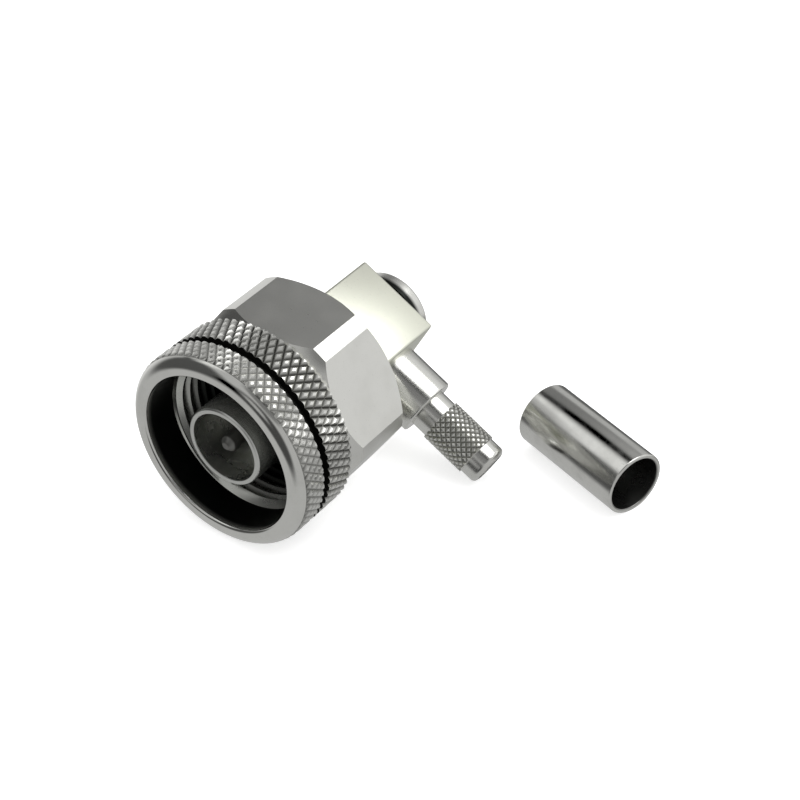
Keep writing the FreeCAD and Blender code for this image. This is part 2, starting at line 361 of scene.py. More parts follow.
def own_position(graph: Graph, seat: Seat) -> bpy.types.NodeSocket:
    """Object coordinates in a piece's own frame, in millimetres.

    Args:
        graph: the material's node tree.
        seat: where the piece sits in the row frame.

    Returns:
        A vector output whose Y runs along the piece's axis.
    """
    turn = seat.matrix().to_euler()
    settings = {"vector_type": "TEXTURE"}
    place = graph.add("ShaderNodeTexCoord").outputs["Object"]
    sockets = {"Vector": place, "Location": seat.origin, "Rotation": turn, "Scale": (MM, MM, MM)}
    return graph.add("ShaderNodeMapping", settings=settings, sockets=sockets).outputs[0]


def noise(graph: Graph, place: Any, scale: float, detail: float = 3.0, rough: float = 0.5) -> Wire:
    """A noise from 0 to 1 over a vector.

    Args:
        graph: the node tree.
        place: the vector that it is read at.
        scale: features per millimetre.
        detail: how many finer layers it has.
        rough: how strong those are.

    Returns:
        The noise as a wire.
    """
    sockets = {"Vector": place, "Scale": scale, "Detail": detail, "Roughness": rough}
    return graph.wire("ShaderNodeTexNoise", sockets=sockets)


def blend(graph: Graph, share: Number, low: Any, high: Any) -> bpy.types.NodeSocket:
    """Mixes two colours.

    Args:
        graph: the node tree.
        share: 0 gives low and 1 gives high.
        low: a colour, or an output that gives one.
        high: the same.

    Returns:
        The mixed colour.
    """
    mix = graph.add("ShaderNodeMix", settings={"data_type": "RGBA"})
    for number, value in ((0, share), (6, low), (7, high)):
        graph.feed(mix.inputs[number], (*value, 1.0) if isinstance(value, tuple) else value)
    return mix.outputs[2]


@dataclass(frozen=True)
class Plate(Finish):
    """Bright nickel or silver plate over worked brass.

    Attributes:
        seat: the piece's own axis, which its tool marks follow.
        grain: how the brass under the plate was worked.
        lines: depth of the tool marks, in mm.
        pitch: their spacing, in mm.
        shade_colour: the colour of smudges and pits where the plate has dulled, and of the painted
            shade in hollows.
        hollow: radii in mm between which the surface passes from valley to crest, if it is cut; painted
            shade darkens the valleys.
        fade: stations in mm between which the plate darkens into a bore or towards a joint, as painted
            shade.
        dark: the colour of that painted shade.
        smudge_scale: wide smudges per mm.
        cloud_scale: smaller clouds per mm.
        pit_scale: tiny pits per mm.
        face_share: how close marks lie on an end face, against a turned side.
        turned_length: features per mm along a turned mark.
        drawn_length: the same along a drawn one.
        milled_length: the same along a milled one.
    """

    seat: Seat = Seat()
    grain: Grain = Grain.TURNED
    lines: float = 0.0012
    pitch: float = 0.16
    shade_colour: Colour = (0.52, 0.52, 0.48)
    hollow: tuple[float, float] | None = None
    fade: tuple[float, float] | None = None
    dark: Colour = (0.02, 0.022, 0.02)
    smudge_scale: float = 0.33
    cloud_scale: float = 1.7
    pit_scale: float = 7.0
    face_share: float = 0.83
    turned_length: float = 0.12
    drawn_length: float = 0.1
    milled_length: float = 0.15

    def marks(self, graph: Graph, place: bpy.types.NodeSocket) -> Wire:
        """The height of the tool marks, from 0 to 1.

        Args:
            graph: the material's node tree.
            place: position in the piece's own frame, in mm.

        Returns:
            The height as a wire.
        """
        across, along, up = graph.split(place)
        radius = (across * across + up * up).root()
        if self.grain is Grain.TURNED:
            turns = (along + radius * self.face_share) / self.pitch
            stretched = (across * self.turned_length, turns, up * self.turned_length)
        elif self.grain is Grain.DRAWN:
            stretched = (across / self.pitch, along * self.drawn_length, up / self.pitch)
        else:
            strokes = along / self.pitch
            stretched = (across * self.milled_length, strokes, up * self.milled_length)
        return noise(graph, graph.vector(*stretched), scale=1.0, detail=2.0, rough=0.6)

    def shade(self, graph: Graph, shader: bpy.types.Node) -> None:
        """Adds tool marks, smudges, tiny pits, painted shade in hollows and painted shade along the
        axis.

        Args:
            graph: the material's node tree.
            shader: its Principled BSDF.
        """
        place = own_position(graph, self.seat)
        marks = self.marks(graph, place)
        smudge = noise(graph, place, self.smudge_scale, detail=4.0, rough=0.55)
        smudge = smudge.ramp(start=0.42, end=0.68)
        cloud = noise(graph, place, self.cloud_scale, detail=3.0, rough=0.6)
        pits = noise(graph, place, self.pit_scale, detail=1.0, rough=0.4)
        pits = pits.ramp(start=0.70, end=0.78)
        tint = blend(graph, smudge * 0.12 + cloud * 0.08, self.colour, self.shade_colour)
        tint = blend(graph, pits * 0.35, tint, self.shade_colour)
        rough = self.roughness + smudge * 0.05 + cloud * 0.05 + marks * 0.05
        # Painted shade: the colour darkens towards the valleys of a cut surface.
        if self.hollow is not None:
            across, _, up = graph.split(place)
            crest = (across * across + up * up).root().ramp(*self.hollow)
            tint = blend(graph, 1 - crest, tint, self.shade_colour)
            rough = rough + (1 - crest) * 0.12
        # Painted shade: the colour darkens along the axis, into a bore or towards a joint.
        if self.fade is not None:
            tint = blend(graph, graph.split(place)[1].ramp(*self.fade), tint, self.dark)
        height = marks * self.lines + (cloud - pits) * self.lines * 0.6
        bump = {"Height": height, "Distance": MM, "Strength": 1.0}
        graph.feed(shader.inputs["Base Color"], tint)
        graph.feed(shader.inputs["Roughness"], rough)
        graph.feed(shader.inputs["Metallic"], 1.0)
        graph.feed(shader.inputs["Normal"], graph.wire("ShaderNodeBump", sockets=bump))


@dataclass(frozen=True)
class Moulded(Finish):
    """Plastic or rubber that was moulded or turned, with a faint grain and soft mottling."""

    seat: Seat = Seat()
    mottle: Colour = (0.7, 0.7, 0.7)
    grain_size: float = 0.12
    grain_depth: float = 0.004
    gloss: float = 0.4

    def shade(self, graph: Graph, shader: bpy.types.Node) -> None:
        """Adds mottled colour, grain and uneven gloss.

        Args:
            graph: the material's node tree.
            shader: its Principled BSDF.
        """
        place = own_position(graph, self.seat)
        cloud = noise(graph, place, scale=0.9, detail=4.0, rough=0.6)
        grain = noise(graph, place, scale=1.0 / self.grain_size, detail=3.0, rough=0.6)
        tint = blend(graph, cloud.ramp(start=0.35, end=0.75), self.colour, self.mottle)
        bump = {"Height": grain * self.grain_depth, "Distance": MM, "Strength": 1.0}
        graph.feed(shader.inputs["Base Color"], tint)
        graph.feed(shader.inputs["Roughness"], self.roughness + cloud * 0.12 - 0.06)
        graph.feed(shader.inputs["Specular IOR Level"], self.gloss)
        graph.feed(shader.inputs["Normal"], graph.wire("ShaderNodeBump", sockets=bump))


@dataclass(frozen=True)
class Paper(Finish):
    """The studio's pale sheet, lit a little from below.

    Attributes:
        glow: how much light comes through it.
        tooth_scale: how fine its tooth is.
    """

    glow: float = 0.55
    tooth_scale: float = 900.0

    def shade(self, graph: Graph, shader: bpy.types.Node) -> None:
        """Adds a faint tooth and an even glow to the sheet.

        Args:
            graph: the material's node tree.
            shader: its Principled BSDF.
        """
        place = graph.add("ShaderNodeTexCoord").outputs["Object"]
        tooth = noise(graph, place, self.tooth_scale, detail=2.0, rough=0.5)
        graph.feed(shader.inputs["Roughness"], self.roughness + tooth * 0.05)
        graph.feed(shader.inputs["Emission Color"], (1.0, 1.0, 1.0, 1.0))
        graph.feed(shader.inputs["Emission Strength"], self.glow)


# Turned shapes

@dataclass(frozen=True)
class Corner:
    """A corner of a half section, in mm.

    Attributes:
        radius: distance from the axis.
        station: place along the axis.
        rounding: radius of the edge, 0 for a sharp one.
    """

    radius: float
    station: float
    rounding: float = 0.0


def softened(corners: Sequence[Corner], steps: int = 4) -> list[Point]:
    """Replaces every corner that has a rounding with an arc that meets both of its sides.

    Args:
        corners: the closed outline, in order.
        steps: how many chords an arc has.

    Returns:
        The outline's points as (radius, station).
    """
    points: list[Point] = []
    for index, corner in enumerate(corners):
        here = Vector((corner.radius, corner.station))
        if corner.rounding <= 0.0:
            points.append(tuple(here))
            continue
        before, after = corners[index - 1], corners[(index + 1) % len(corners)]
        back = (Vector((before.radius, before.station)) - here).normalized()
        ahead = (Vector((after.radius, after.station)) - here).normalized()
        half = back.angle(ahead) / 2
        centre = here + (back + ahead).normalized() * corner.rounding / math.sin(half)
        start = here + back * corner.rounding / math.tan(half) - centre
        end = here + ahead * corner.rounding / math.tan(half) - centre
        sweep = start.angle_signed(end)
        for step in range(steps + 1):
            points.append(tuple(centre + rotated(start, -sweep * step / steps)))
    return points


def rotated(vector: Vector, angle: float) -> Vector:
    """Turns a flat vector anticlockwise.

    Args:
        vector: the vector.
        angle: the turn, in radians.

    Returns:
        The turned vector.
    """
    across, up = vector
    turn = (math.cos(angle), math.sin(angle))
    return Vector((across * turn[0] - up * turn[1], across * turn[1] + up * turn[0]))


@dataclass(frozen=True)
class Ring:
    """One ring of points about the axis, in mm.

    Attributes:
        radius: the same all round, or a rule that gives it for each column.
        station: likewise.
        zone: number of the finish of the faces up to the next ring.
        open_after: nothing spans to the next ring, because something else fills that band.
        swing: a rule that moves each column round the axis, in radians.
    """

    radius: float | Callable[[int], float]
    station: float | Callable[[int], float]
    zone: int = 0
    open_after: bool = False
    swing: Callable[[int], float] | None = None

    def points(self, columns: int, phase: float) -> list[Vector]:
        """The ring's points, one for each column.

        Args:
            columns: how many steps the turn has.
            phase: angle of the first column, in radians.

        Returns:
            The points, in mm.
        """
        points = []
        for column in range(columns):
            swing = self.swing(column) if self.swing else 0.0
            angle = phase + math.tau * column / columns + swing
            radius = self.radius(column) if callable(self.radius) else self.radius
            station = self.station(column) if callable(self.station) else self.station
            points.append(Vector((radius * math.sin(angle), station, radius * math.cos(angle))))
        return points


def ringed(rings: Sequence[Ring], columns: int, phase: float = 0.0) -> bmesh.types.BMesh:
    """Spans faces from each ring to the next, and from the last to the first.

    Args:
        rings: the rings in order along the half section.
        columns: how many steps the turn has.
        phase: angle of the first column, in radians.

    Returns:
        The shape in mm. A ring of radius 0 becomes a pole.
    """
    shape = bmesh.new()
    loops = [[shape.verts.new(point) for point in ring.points(columns, phase)] for ring in rings]
    for index, ring in enumerate(rings):
        if ring.open_after:
            continue
        loop, following = loops[index], loops[(index + 1) % len(rings)]
        for column in range(columns):
            after = (column + 1) % columns
            face = shape.faces.new((loop[column], loop[after], following[after], following[column]))
            face.material_index = ring.zone
    return shape


def turned(corners: Sequence[Corner], columns: int, steps: int = 4) -> bmesh.types.BMesh:
    """Turns a closed half section with soft edges about the Y axis."""
    return ringed([Ring(radius, station) for radius, station in softened(corners, steps)], columns)


def workpiece(
    name: str,
    shape: bmesh.types.BMesh,
    materials: Sequence[bpy.types.Material],
) -> bpy.types.Object:
    """Makes an object of a shape in mm, still in its own frame.

    Args:
        name: the object's name.
        shape: the shape, which is freed.
        materials: its finishes, by zone.

    Returns:
        An object in the scene.
    """
    bmesh.ops.remove_doubles(shape, verts=shape.verts, dist=1e-5)
    mesh = bpy.data.meshes.new(name)
    shape.to_mesh(mesh)
    shape.free()
    for material in materials:
        mesh.materials.append(material)
    piece = bpy.data.objects.new(name, mesh)
    bpy.context.scene.collection.objects.link(piece)
    return piece


def face_outwards(mesh: bpy.types.Mesh) -> None:
    """Turns every face of a closed mesh outwards.

    Args:
        mesh: the mesh, changed in place.
    """
    shape = bmesh.new()
    shape.from_mesh(mesh)
    bmesh.ops.recalc_face_normals(shape, faces=shape.faces)
    shape.to_mesh(mesh)
    shape.free()


def seated(piece: bpy.types.Object, seat: Seat, crease_deg: float = 28.0) -> bpy.types.Object:
    """Finishes a workpiece: faces outwards, smooth but for its creases, at its place in the frame.

    Args:
        piece: the object, in mm and in its own frame.
        seat: where it sits.
        crease_deg: edges that turn by more than this stay sharp.

    Returns:
        The same object, at the origin with its place in its mesh.
    """
    mesh = piece.data
    face_outwards(mesh)
    mesh.transform(seat.matrix() @ Matrix.Scale(MM, 4))
    mesh.shade_smooth()
    mesh.set_sharp_from_angle(angle=math.radians(crease_deg))
    return piece


# Repeated cuts, as node trees

class ModifierTree:
    """A Geometry Nodes tree with named inputs, put on a piece and turned into a plain mesh."""

    def __init__(self, name: str, whole: Sequence[str], measures: Sequence[str]) -> None:
        """Starts a tree, with a material as its last input.

        Args:
            name: the tree's name.
            whole: names of the inputs that are whole numbers.
            measures: names of the inputs that are lengths, shares or angles.
        """
        self.tree = bpy.data.node_groups.new(name, "GeometryNodeTree")
        self.tree.is_modifier = True
        self.graph = Graph(self.tree)
        face = self.tree.interface
        face.new_socket("Geometry", in_out="INPUT", socket_type="NodeSocketGeometry")
        kinds = {
            **dict.fromkeys(whole, "NodeSocketInt"),
            **dict.fromkeys(measures, "NodeSocketFloat"),
            "Material": "NodeSocketMaterial",
        }
        for label, kind in kinds.items():
            face.new_socket(label, in_out="INPUT", socket_type=kind)
        face.new_socket("Geometry", in_out="OUTPUT", socket_type="NodeSocketGeometry")
        self.entry = self.tree.nodes.new("NodeGroupInput")

    def given(self, label: str) -> Wire:
        """The input of that name, as a wire."""
        return Wire(self.graph, self.entry.outputs[label])

    def close(self, added: Wire, weld: float = 0.02) -> None:
        """Welds new geometry to the piece, gives it its finish and ends the tree.

        Args:
            added: the new geometry.
            weld: points nearer than this become one, in mm.
        """
        graph = self.graph
        join = graph.add("GeometryNodeJoinGeometry")
        graph.feed(join.inputs[0], added)
        graph.feed(join.inputs[0], self.given("Geometry"))
        sockets = {"Geometry": join.outputs[0], "Distance": weld}
        welded = graph.wire("GeometryNodeMergeByDistance", sockets=sockets)
        real = graph.wire("GeometryNodeRealizeInstances", sockets={"Geometry": welded})
        settings, sockets = {"data_type": "BOOLEAN"}, {"Name": BODY_MARK}
        old = graph.wire("GeometryNodeInputNamedAttribute", settings=settings, sockets=sockets)
        new = graph.wire("FunctionNodeBooleanMath", settings={"operation": "NOT"}, sockets={0: old})
        sockets = {"Geometry": real, "Selection": new, "Material": self.given("Material")}
        last = graph.wire("GeometryNodeSetMaterial", sockets=sockets)
        graph.add("NodeGroupOutput", sockets={"Geometry": last})

    def apply(self, piece: bpy.types.Object, values: dict[str, Any]) -> None:
        """Runs the tree on a piece and keeps the result as its mesh.

        Args:
            piece: the object that gets the geometry.
            values: a value for each named input.
        """
        modifier = piece.modifiers.new(self.tree.name, "NODES")
        modifier.node_group = self.tree
        for item in self.tree.interface.items_tree:
            if item.in_out == "INPUT" and item.name in values:
                modifier[item.identifier] = values[item.name]
        bake(piece)


def bake(piece: bpy.types.Object) -> None:
    """Turns a piece and its modifiers into a plain mesh of its own.

    Args:
        piece: the object, which keeps its name.
    """
    bpy.context.view_layer.update()
    graph = bpy.context.evaluated_depsgraph_get()
    final = piece.evaluated_get(graph)
    mesh = bpy.data.meshes.new_from_object(final, preserve_all_data_layers=True, depsgraph=graph)
    old = piece.data
    piece.modifiers.clear()
    piece.data = mesh
    mesh.name = piece.name
    bpy.data.meshes.remove(old)


BODY_MARK = "turned_body"


@dataclass(frozen=True)
class Knurl:
    """A diamond knurl on a turned band.

    Attributes:
        start: station where the band begins, in mm.
        end: station where it ends.
        crest: radius of the diamonds' flat tops.
        depth: how deep the valleys between them are.
        turns: how many diamonds stand in a ring.
        pitch: their wanted length along the axis.
        flat: share of a diamond that its top takes, one third to meet the band's columns.
        rounding: radius of the rim's round that cuts the diamonds off, 0 for none.
        rim: station of the rim that the round starts from.
    """

    start: float
    end: float
    crest: float
    depth: float
    turns: int
    pitch: float
    flat: float = 1 / 3
    rounding: float = 0.0
    rim: float = 0.0

    @property
    def rows(self) -> int:
        """Steps of half a diamond along the band, always even, so that both ends are cut alike."""
        return 2 * round((self.end - self.start) / self.pitch)

    @property
    def valley(self) -> float:
        """Radius of the valleys."""
        return self.crest - self.depth

    def edge(self) -> Callable[[int], float]:
        """The band's cut end, as a radius for each column."""
        return lambda column: self.valley if column % 3 == 0 else self.crest

    @staticmethod
    def limited(made: "ModifierTree", band: Wire) -> Wire:
        """Cuts the diamonds off where the rim's round passes below their tops.

        Args:
            made: the tree that the nodes go to.
            band: the diamonds.

        Returns:
            The band with its points moved in.
        """
        graph = made.graph
        rounding = made.given("Rounding")
        across, along, up = graph.split(graph.wire("GeometryNodeInputPosition"))
        share = ((made.given("Rim") + rounding - along) / rounding).highest(0.0).lowest(1.0)
        crest = made.given("Valley") + made.given("Depth")
        limit = crest - rounding * (1 - (1 - share * share).root())
        scale = (limit / (across * across + up * up).root()).lowest(1.0)
        place = graph.vector(across * scale, along, up * scale)
        return graph.wire("GeometryNodeSetPosition", sockets={"Geometry": band, "Position": place})

    @staticmethod
    def tree() -> ModifierTree:
        """The tree that sets cut diamonds round a band.

        Returns:
            A tree with the band's sizes as inputs.
        """
        labels = ("Start", "Step", "Valley", "Depth", "Flat", "Phase", "Rounding", "Rim")
        made = ModifierTree("diamond_knurl", whole=("Turns", "Rows"), measures=labels)
        graph = made.graph
        turns, rows = made.given("Turns"), made.given("Rows")
        start, step, valley = made.given("Start"), made.given("Step"), made.given("Valley")
        index = graph.wire("GeometryNodeInputIndex")
        row = ((index + 0.5) / turns).floor()
        column = index - row * turns
        angle = made.given("Phase") + (column + 0.5 - (row % 2) * 0.5) * math.tau / turns
        place = graph.vector(angle.sine() * valley, start + row * step, angle.cosine() * valley)
        sockets = {"Count": turns * (rows + 1), "Position": place}
        points = graph.wire("GeometryNodePoints", sockets=sockets)
        sockets = {"Vertices": 4, "Radius Bottom": 1.0, "Depth": 1.0}
        sockets["Radius Top"] = made.given("Flat")
        stud = graph.add("GeometryNodeMeshCone", settings={"fill_type": "NGON"}, sockets=sockets)
        faces = {"domain": "FACE"}
        sockets = {"Geometry": stud.outputs["Mesh"], "Selection": stud.outputs["Bottom"]}
        hollow = graph.wire("GeometryNodeDeleteGeometry", settings=faces, sockets=sockets)
        settings = {"quad_method": "FIXED"}
        cut = graph.wire("GeometryNodeTriangulate", settings=settings, sockets={"Mesh": hollow})
        size = graph.vector(valley * (math.pi / turns).tangent(), step, made.given("Depth"))
        sockets = {0: graph.vector(0.0, angle)}
        turn = graph.wire("FunctionNodeEulerToRotation", sockets=sockets)
        sockets = {"Points": points, "Instance": cut, "Rotation": turn, "Scale": size}
        studs = graph.wire("GeometryNodeInstanceOnPoints", sockets=sockets)
        real = graph.wire("GeometryNodeRealizeInstances", sockets={"Geometry": studs})
        station = graph.split(graph.wire("GeometryNodeInputPosition"))[1]
        outside = (start - station > 0.0).highest(station - start - rows * step > 0.0)
        sockets = {"Geometry": real, "Selection": outside}
        band = graph.wire("GeometryNodeDeleteGeometry", settings=faces, sockets=sockets)
        made.close(Knurl.limited(made, band))
        return made

    def values(self, material: bpy.types.Material, phase: float) -> dict[str, Any]:
        """The tree's inputs for this band.

        Args:
            material: the finish of the diamonds.
            phase: angle of column 0, in radians.

        Returns:
            A value for each input.
        """
        step = (self.end - self.start) / self.rows
        given = {"Rows": self.rows, "Step": step, "Valley": self.valley, "Phase": phase}
        names = ("turns", "start", "depth", "flat", "rounding", "rim")
        own = {name.capitalize(): getattr(self, name) for name in names}
        return {**given, **own, "Material": material}


@dataclass(frozen=True)
class Thread:
    """An inside thread, cut between a counterbore and a relief.

    Attributes:
        start: station where the counterbore ends, in mm.
        end: station where the relief begins.
        crest: radius at the crests, nearest to the axis.
        depth: depth of the thread.
        pitch: distance between its turns.
        mouth: radius of the counterbore, from which a countersink leads in.
        relief: radius of the relief.
        crest_share: width of a crest, as a share of the pitch.
        root_share: width of a root.
    """

    crest_share: ClassVar[float] = 1 / 4
    root_share: ClassVar[float] = 1 / 8

    start: float
    end: float
    crest: float
    depth: float
    pitch: float
    mouth: float
    relief: float

    @staticmethod
    def tree() -> ModifierTree:
        """The tree that winds a grid into a thread.

        Four rows of the grid make each turn: both ends of the crest and both ends of the root.
        The grid's two sides meet one turn apart.

        Returns:
            A tree with the thread's sizes as inputs.
        """
        labels = ("Start", "End", "Crest", "Depth", "Pitch", "Mouth", "Relief", "Phase")
        made = ModifierTree("inner_thread", whole=("Columns", "Rows"), measures=labels)
        graph = made.graph
        start, end, pitch = made.given("Start"), made.given("End"), made.given("Pitch")
        rows = made.given("Rows")
        sockets = {"Size X": 1.0, "Size Y": 1.0, "Vertices Y": rows + 1}
        sockets["Vertices X"] = made.given("Columns") + 1
        grid = graph.wire("GeometryNodeMeshGrid", sockets=sockets)
        across, up, _ = graph.split(graph.wire("GeometryNodeInputPosition"))
        share = across + 0.5
        row = ((up + 0.5) * rows + 0.5).floor()
        last = row > rows - 0.5
        turn = ((row + 0.5) / 4).floor()
        corner = row - turn * 4
        crest, root = Thread.crest_share, Thread.root_share
        flank = (1 - crest - root) / 2
        offset = corner * crest + (corner > 1.5) * (flank - crest) - (corner > 2.5) * (crest - root)
        station = (start + pitch * (turn + offset - 1 + share)).highest(start).lowest(end)
        station = station + (end - station) * last
        place = ((station - start) / pitch - share + 2).fraction()
        slope = 1 / flank
        tooth = ((place - crest) * slope).lowest((1 - place) * slope).highest(0.0).lowest(1.0)
        cone = made.given("Mouth") - (station - start)
        radius = (made.given("Crest") + made.given("Depth") * tooth).highest(cone)
        radius = radius + (made.given("Relief") - radius) * last
        angle = made.given("Phase") + share * math.tau
        place = graph.vector(radius * angle.sine(), station, radius * angle.cosine())
        wound = graph.wire("GeometryNodeSetPosition", sockets={"Geometry": grid, "Position": place})
        made.close(wound)
        return made

    def values(self, material: bpy.types.Material, columns: int, phase: float) -> dict[str, Any]:
        """The tree's inputs for this thread.

        Args:
            material: the finish of the thread.
            columns: how many steps a turn has.
            phase: angle of column 0, in radians.

        Returns:
            A value for each input.
        """
        turns = math.ceil((self.end - self.start) / self.pitch) + 1
        given = {"Columns": columns, "Rows": 4 * turns + 1, "Phase": phase}
        own = {name.capitalize(): value for name, value in vars(self).items()}
        return {**given, **own, "Material": material}


# Sub-assemblies

@dataclass
class SubAssembly(ABC):
    """Pieces that are built and dressed together.

    Attributes:
        layout: the axes that the pieces share.
        pieces: the finished pieces, by name.
    """

    layout: Layout
    pieces: dict[str, bpy.types.Object] = field(default_factory=dict, init=False)

    @abstractmethod
    def build(self) -> None:
        """Builds the pieces' meshes and dresses them."""

    def keep(self, piece: bpy.types.Object, node: str, body: str, slot: str) -> None:
        """Lets a finished piece stand for its node of the frame.

        Args:
            piece: the finished object.
            node: the frame's node that it replaces.
            body: the body that it rides on.
            slot: the record's material slot; not used.
        """
        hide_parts(node)
        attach(piece, body)
        self.pieces[piece.name] = piece

    def dress_node(self, node: str, material: bpy.types.Material) -> None:
        """Gives a node that stays in view its finish.

        Args:
            node: name of the frame's node.
            material: its finish.
        """
        piece = frame["nodes"][node]
        piece.data.materials.clear()
        piece.data.materials.append(material)
        self.pieces[node] = piece

    def report(self) -> None:
        """Logs every piece with its number of faces."""
        for name, piece in self.pieces.items():
            LOG.info("%s: %s has %d faces", type(self).__name__, name, len(piece.data.polygons))


NICKEL: Colour = (0.80, 0.80, 0.765)
# Painted shade in the nut's knurl valleys; it also tints their smudges and pits.
KNURL_SMUDGE_AND_SHADE: Colour = (0.14, 0.14, 0.13)
# Painted shade in the stem's knurl valleys; it also tints their smudges and pits.
STEM_SMUDGE_AND_SHADE: Colour = (0.32, 0.32, 0.29)
# Painted shade inside the ferrule's tube; it also tints its smudges and pits.
FERRULE_SMUDGE_AND_SHADE: Colour = (0.26, 0.26, 0.25)
# Painted shade: the thread inside the nut is coloured greyer than the nickel outside.
THREAD_SHADED_GREY: Colour = (0.66, 0.67, 0.63)
# Painted shadow: the groove between the knurls and the neck before the hexagon are coloured near black,
# mottled with the next colour.
GROOVE_PAINTED_SHADOW: Colour = (0.05, 0.05, 0.045)
GROOVE_SHADOW_MOTTLE: Colour = (0.02, 0.02, 0.02)
# Painted shade: the outer contact is coloured greyer than the nickel, as it lies inside the nut.
CONTACT_SHADED_GREY: Colour = (0.68, 0.69, 0.66)
# Painted shade: the silver-plated pin is coloured dark grey, as it lies deep inside the contact.
PIN_PAINTED_SHADE: Colour = (0.20, 0.20, 0.19)
WARM_NICKEL: Colour = (0.82, 0.83, 0.72)
BRONZE: Colour = (0.72, 0.50, 0.28)
BRONZE_SHADE: Colour = (0.42, 0.27, 0.14)
RUBBER: Colour = (0.018, 0.018, 0.018)
RUBBER_MOTTLE: Colour = (0.035, 0.035, 0.033)
WAXY_WHITE: Colour = (0.83, 0.83, 0.80)
WAXY_MOTTLE: Colour = (0.76, 0.76, 0.72)


@dataclass
class CouplingNut(SubAssembly):
    """Union nut: rounded rim, two knurled bands with a groove between them, and a hexagon.

    All sizes are in mm, as radii and as stations from the front rim. The front band is cut
    finer and lower than the rear one.
    """

    band: float = 10.0
    rim_round: float = 1.35
    lip: float = 0.3
    groove_floor: float = 9.2
    groove: Point = (3.1, 3.92)
    rear_end: float = 7.1
    hex_front: Point = (9.2, 7.3)
    hex_front_corner: Point = (10.25, 8.4)
    hex_back_corner: Point = (10.25, 14.5)
    hex_back: Point = (9.10, 15.5)
    across: float = 9.25
    hex_turn_deg: float = 33.5
    strip_columns: int = 2
    mouth: float = 8.05
    mouth_depth: float = 3.75
    thread_crest: float = 7.45
    thread_depth: float = 0.49
    thread_pitch: float = 25.4 / 24
    thread_end: float = 10.0
    relief: float = 8.0
    shoulder: float = 11.6
    back_bore: float = 7.03
    ring_room: float = 7.9
    ring_room_span: Point = (12.55, 13.95)
    knurl_turns: int = 68
    knurl_pitch: float = 1.6
    knurl_depth: float = 0.24
    front_depth: float = 0.16
    front_pitch: float = 1.2
    skin: float = 0.01
    # Painted shade: stations between which the mouth's bore darkens to near black into the nut.
    bore_fade: Point = (0.1, 0.9)
    # Painted shade: stations between which the thread darkens to near black into the nut.
    thread_fade: Point = (4.8, 7.6)

    @property
    def columns(self) -> int:
        """Steps of the turn: three for each diamond, which also puts a column on every corner."""
        return 3 * self.knurl_turns

    @property
    def phase(self) -> float:
        """Angle of column 0, on a corner of the hexagon."""
        return math.radians(self.hex_turn_deg)

    @property
    def run_out(self) -> float:
        """Station where the rim's round has come down to the knurl's valleys."""
        across = self.rim_round - self.front_depth
        return self.rim_round - math.sqrt(self.rim_round**2 - across**2)

    def swing(self, column: int) -> float:
        """How far a column of the hexagon moves, so that two of them lie on each corner strip's edges.

        Args:
            column: the column's number.

        Returns:
            The angle that it moves by, in radians.
        """
        side = self.columns // 6
        place = (column + side // 2) % side - side // 2
        strip = math.pi / 6 - math.acos(self.across / self.hex_front_corner[0])
        even = math.tau / self.columns
        if abs(place) <= self.strip_columns:
            return place * (strip / self.strip_columns - even)
        rest = (math.pi / 6 - strip) / (side / 2 - self.strip_columns)
        return math.copysign(math.pi / 6 - rest * (side / 2 - abs(place)), place) - place * even

    def hexagon(self, column: int) -> float:
        """Radius of the milled hexagon at a column.

        Args:
            column: the column's number.

        Returns:
            The radius, in mm.
        """
        side = self.columns // 6
        turn = (math.tau * column / self.columns + self.swing(column)) % (math.pi / 3) - math.pi / 6
        corner = self.hex_front_corner[0]
        if column % side in (0, 1, side - 1):
            return corner
        return min(self.across / math.cos(turn), corner)

    @staticmethod
    def crown(inner: Point, outer: Point, radius: float) -> float:
        """Station of the ball through two points of the section, at a radius.

        Args:
            inner: radius and station of the point on the end face.
            outer: those of the point on the corners.
            radius: where the station is wanted.

        Returns:
            The station, in mm.
        """
        centre = (math.hypot(*outer) ** 2 - math.hypot(*inner) ** 2) / (2 * (outer[1] - inner[1]))
        ball = math.hypot(outer[0], outer[1] - centre)
        return centre + math.copysign(math.sqrt(ball**2 - radius**2), inner[1] - centre)

    def end_radius(self, inner: Point, share: float, column: int) -> float:
        """Radius on a turned end of the hexagon, for one column."""
        return inner[0] + (self.hexagon(column) - inner[0]) * share

    def end_station(self, inner: Point, outer: Point, share: float, column: int) -> float:
        """Station on a turned end of the hexagon, for one column."""
        return self.crown(inner, outer, self.end_radius(inner, share, column))

    def crowned(self, inner: Point, outer: Point, steps: int = 4) -> list[Ring]:
        """Rings over one turned end of the hexagon, from the end face to the flats.

        Args:
            inner: radius and station of the end face's edge.
            outer: those of the corners' ends.
            steps: how many rings it takes.

        Returns:
            The rings, all but the one on the end face.
        """
        rings = []
        for step in range(1, steps + 1):
            radius = partial(self.end_radius, inner, step / steps)
            station = partial(self.end_station, inner, outer, step / steps)
            rings.append(Ring(radius, station, swing=self.swing))
        return rings

    def rim(self, lip_steps: int = 6, steps: int = 14) -> list[Ring]:
        """The front rim, from inside its bore to where the knurl begins.

        Args:
            lip_steps: chords of the round into the bore.
            steps: chords of the round at the outside.

        Returns:
            The rim's rings.
        """
        rings = []
        for step in range(lip_steps + 1):
            angle = math.pi / 2 * step / lip_steps
            radius = self.mouth + self.lip * (1 - math.cos(angle))
            rings.append(Ring(radius, self.lip * (1 - math.sin(angle))))
        sweep = math.acos(1 - self.run_out / self.rim_round)
        for step in range(steps + 1):
            angle = sweep * step / steps
            radius = self.band - self.skin - self.rim_round * (1 - math.sin(angle))
            rings.append(Ring(radius, self.rim_round * (1 - math.cos(angle))))
        return rings

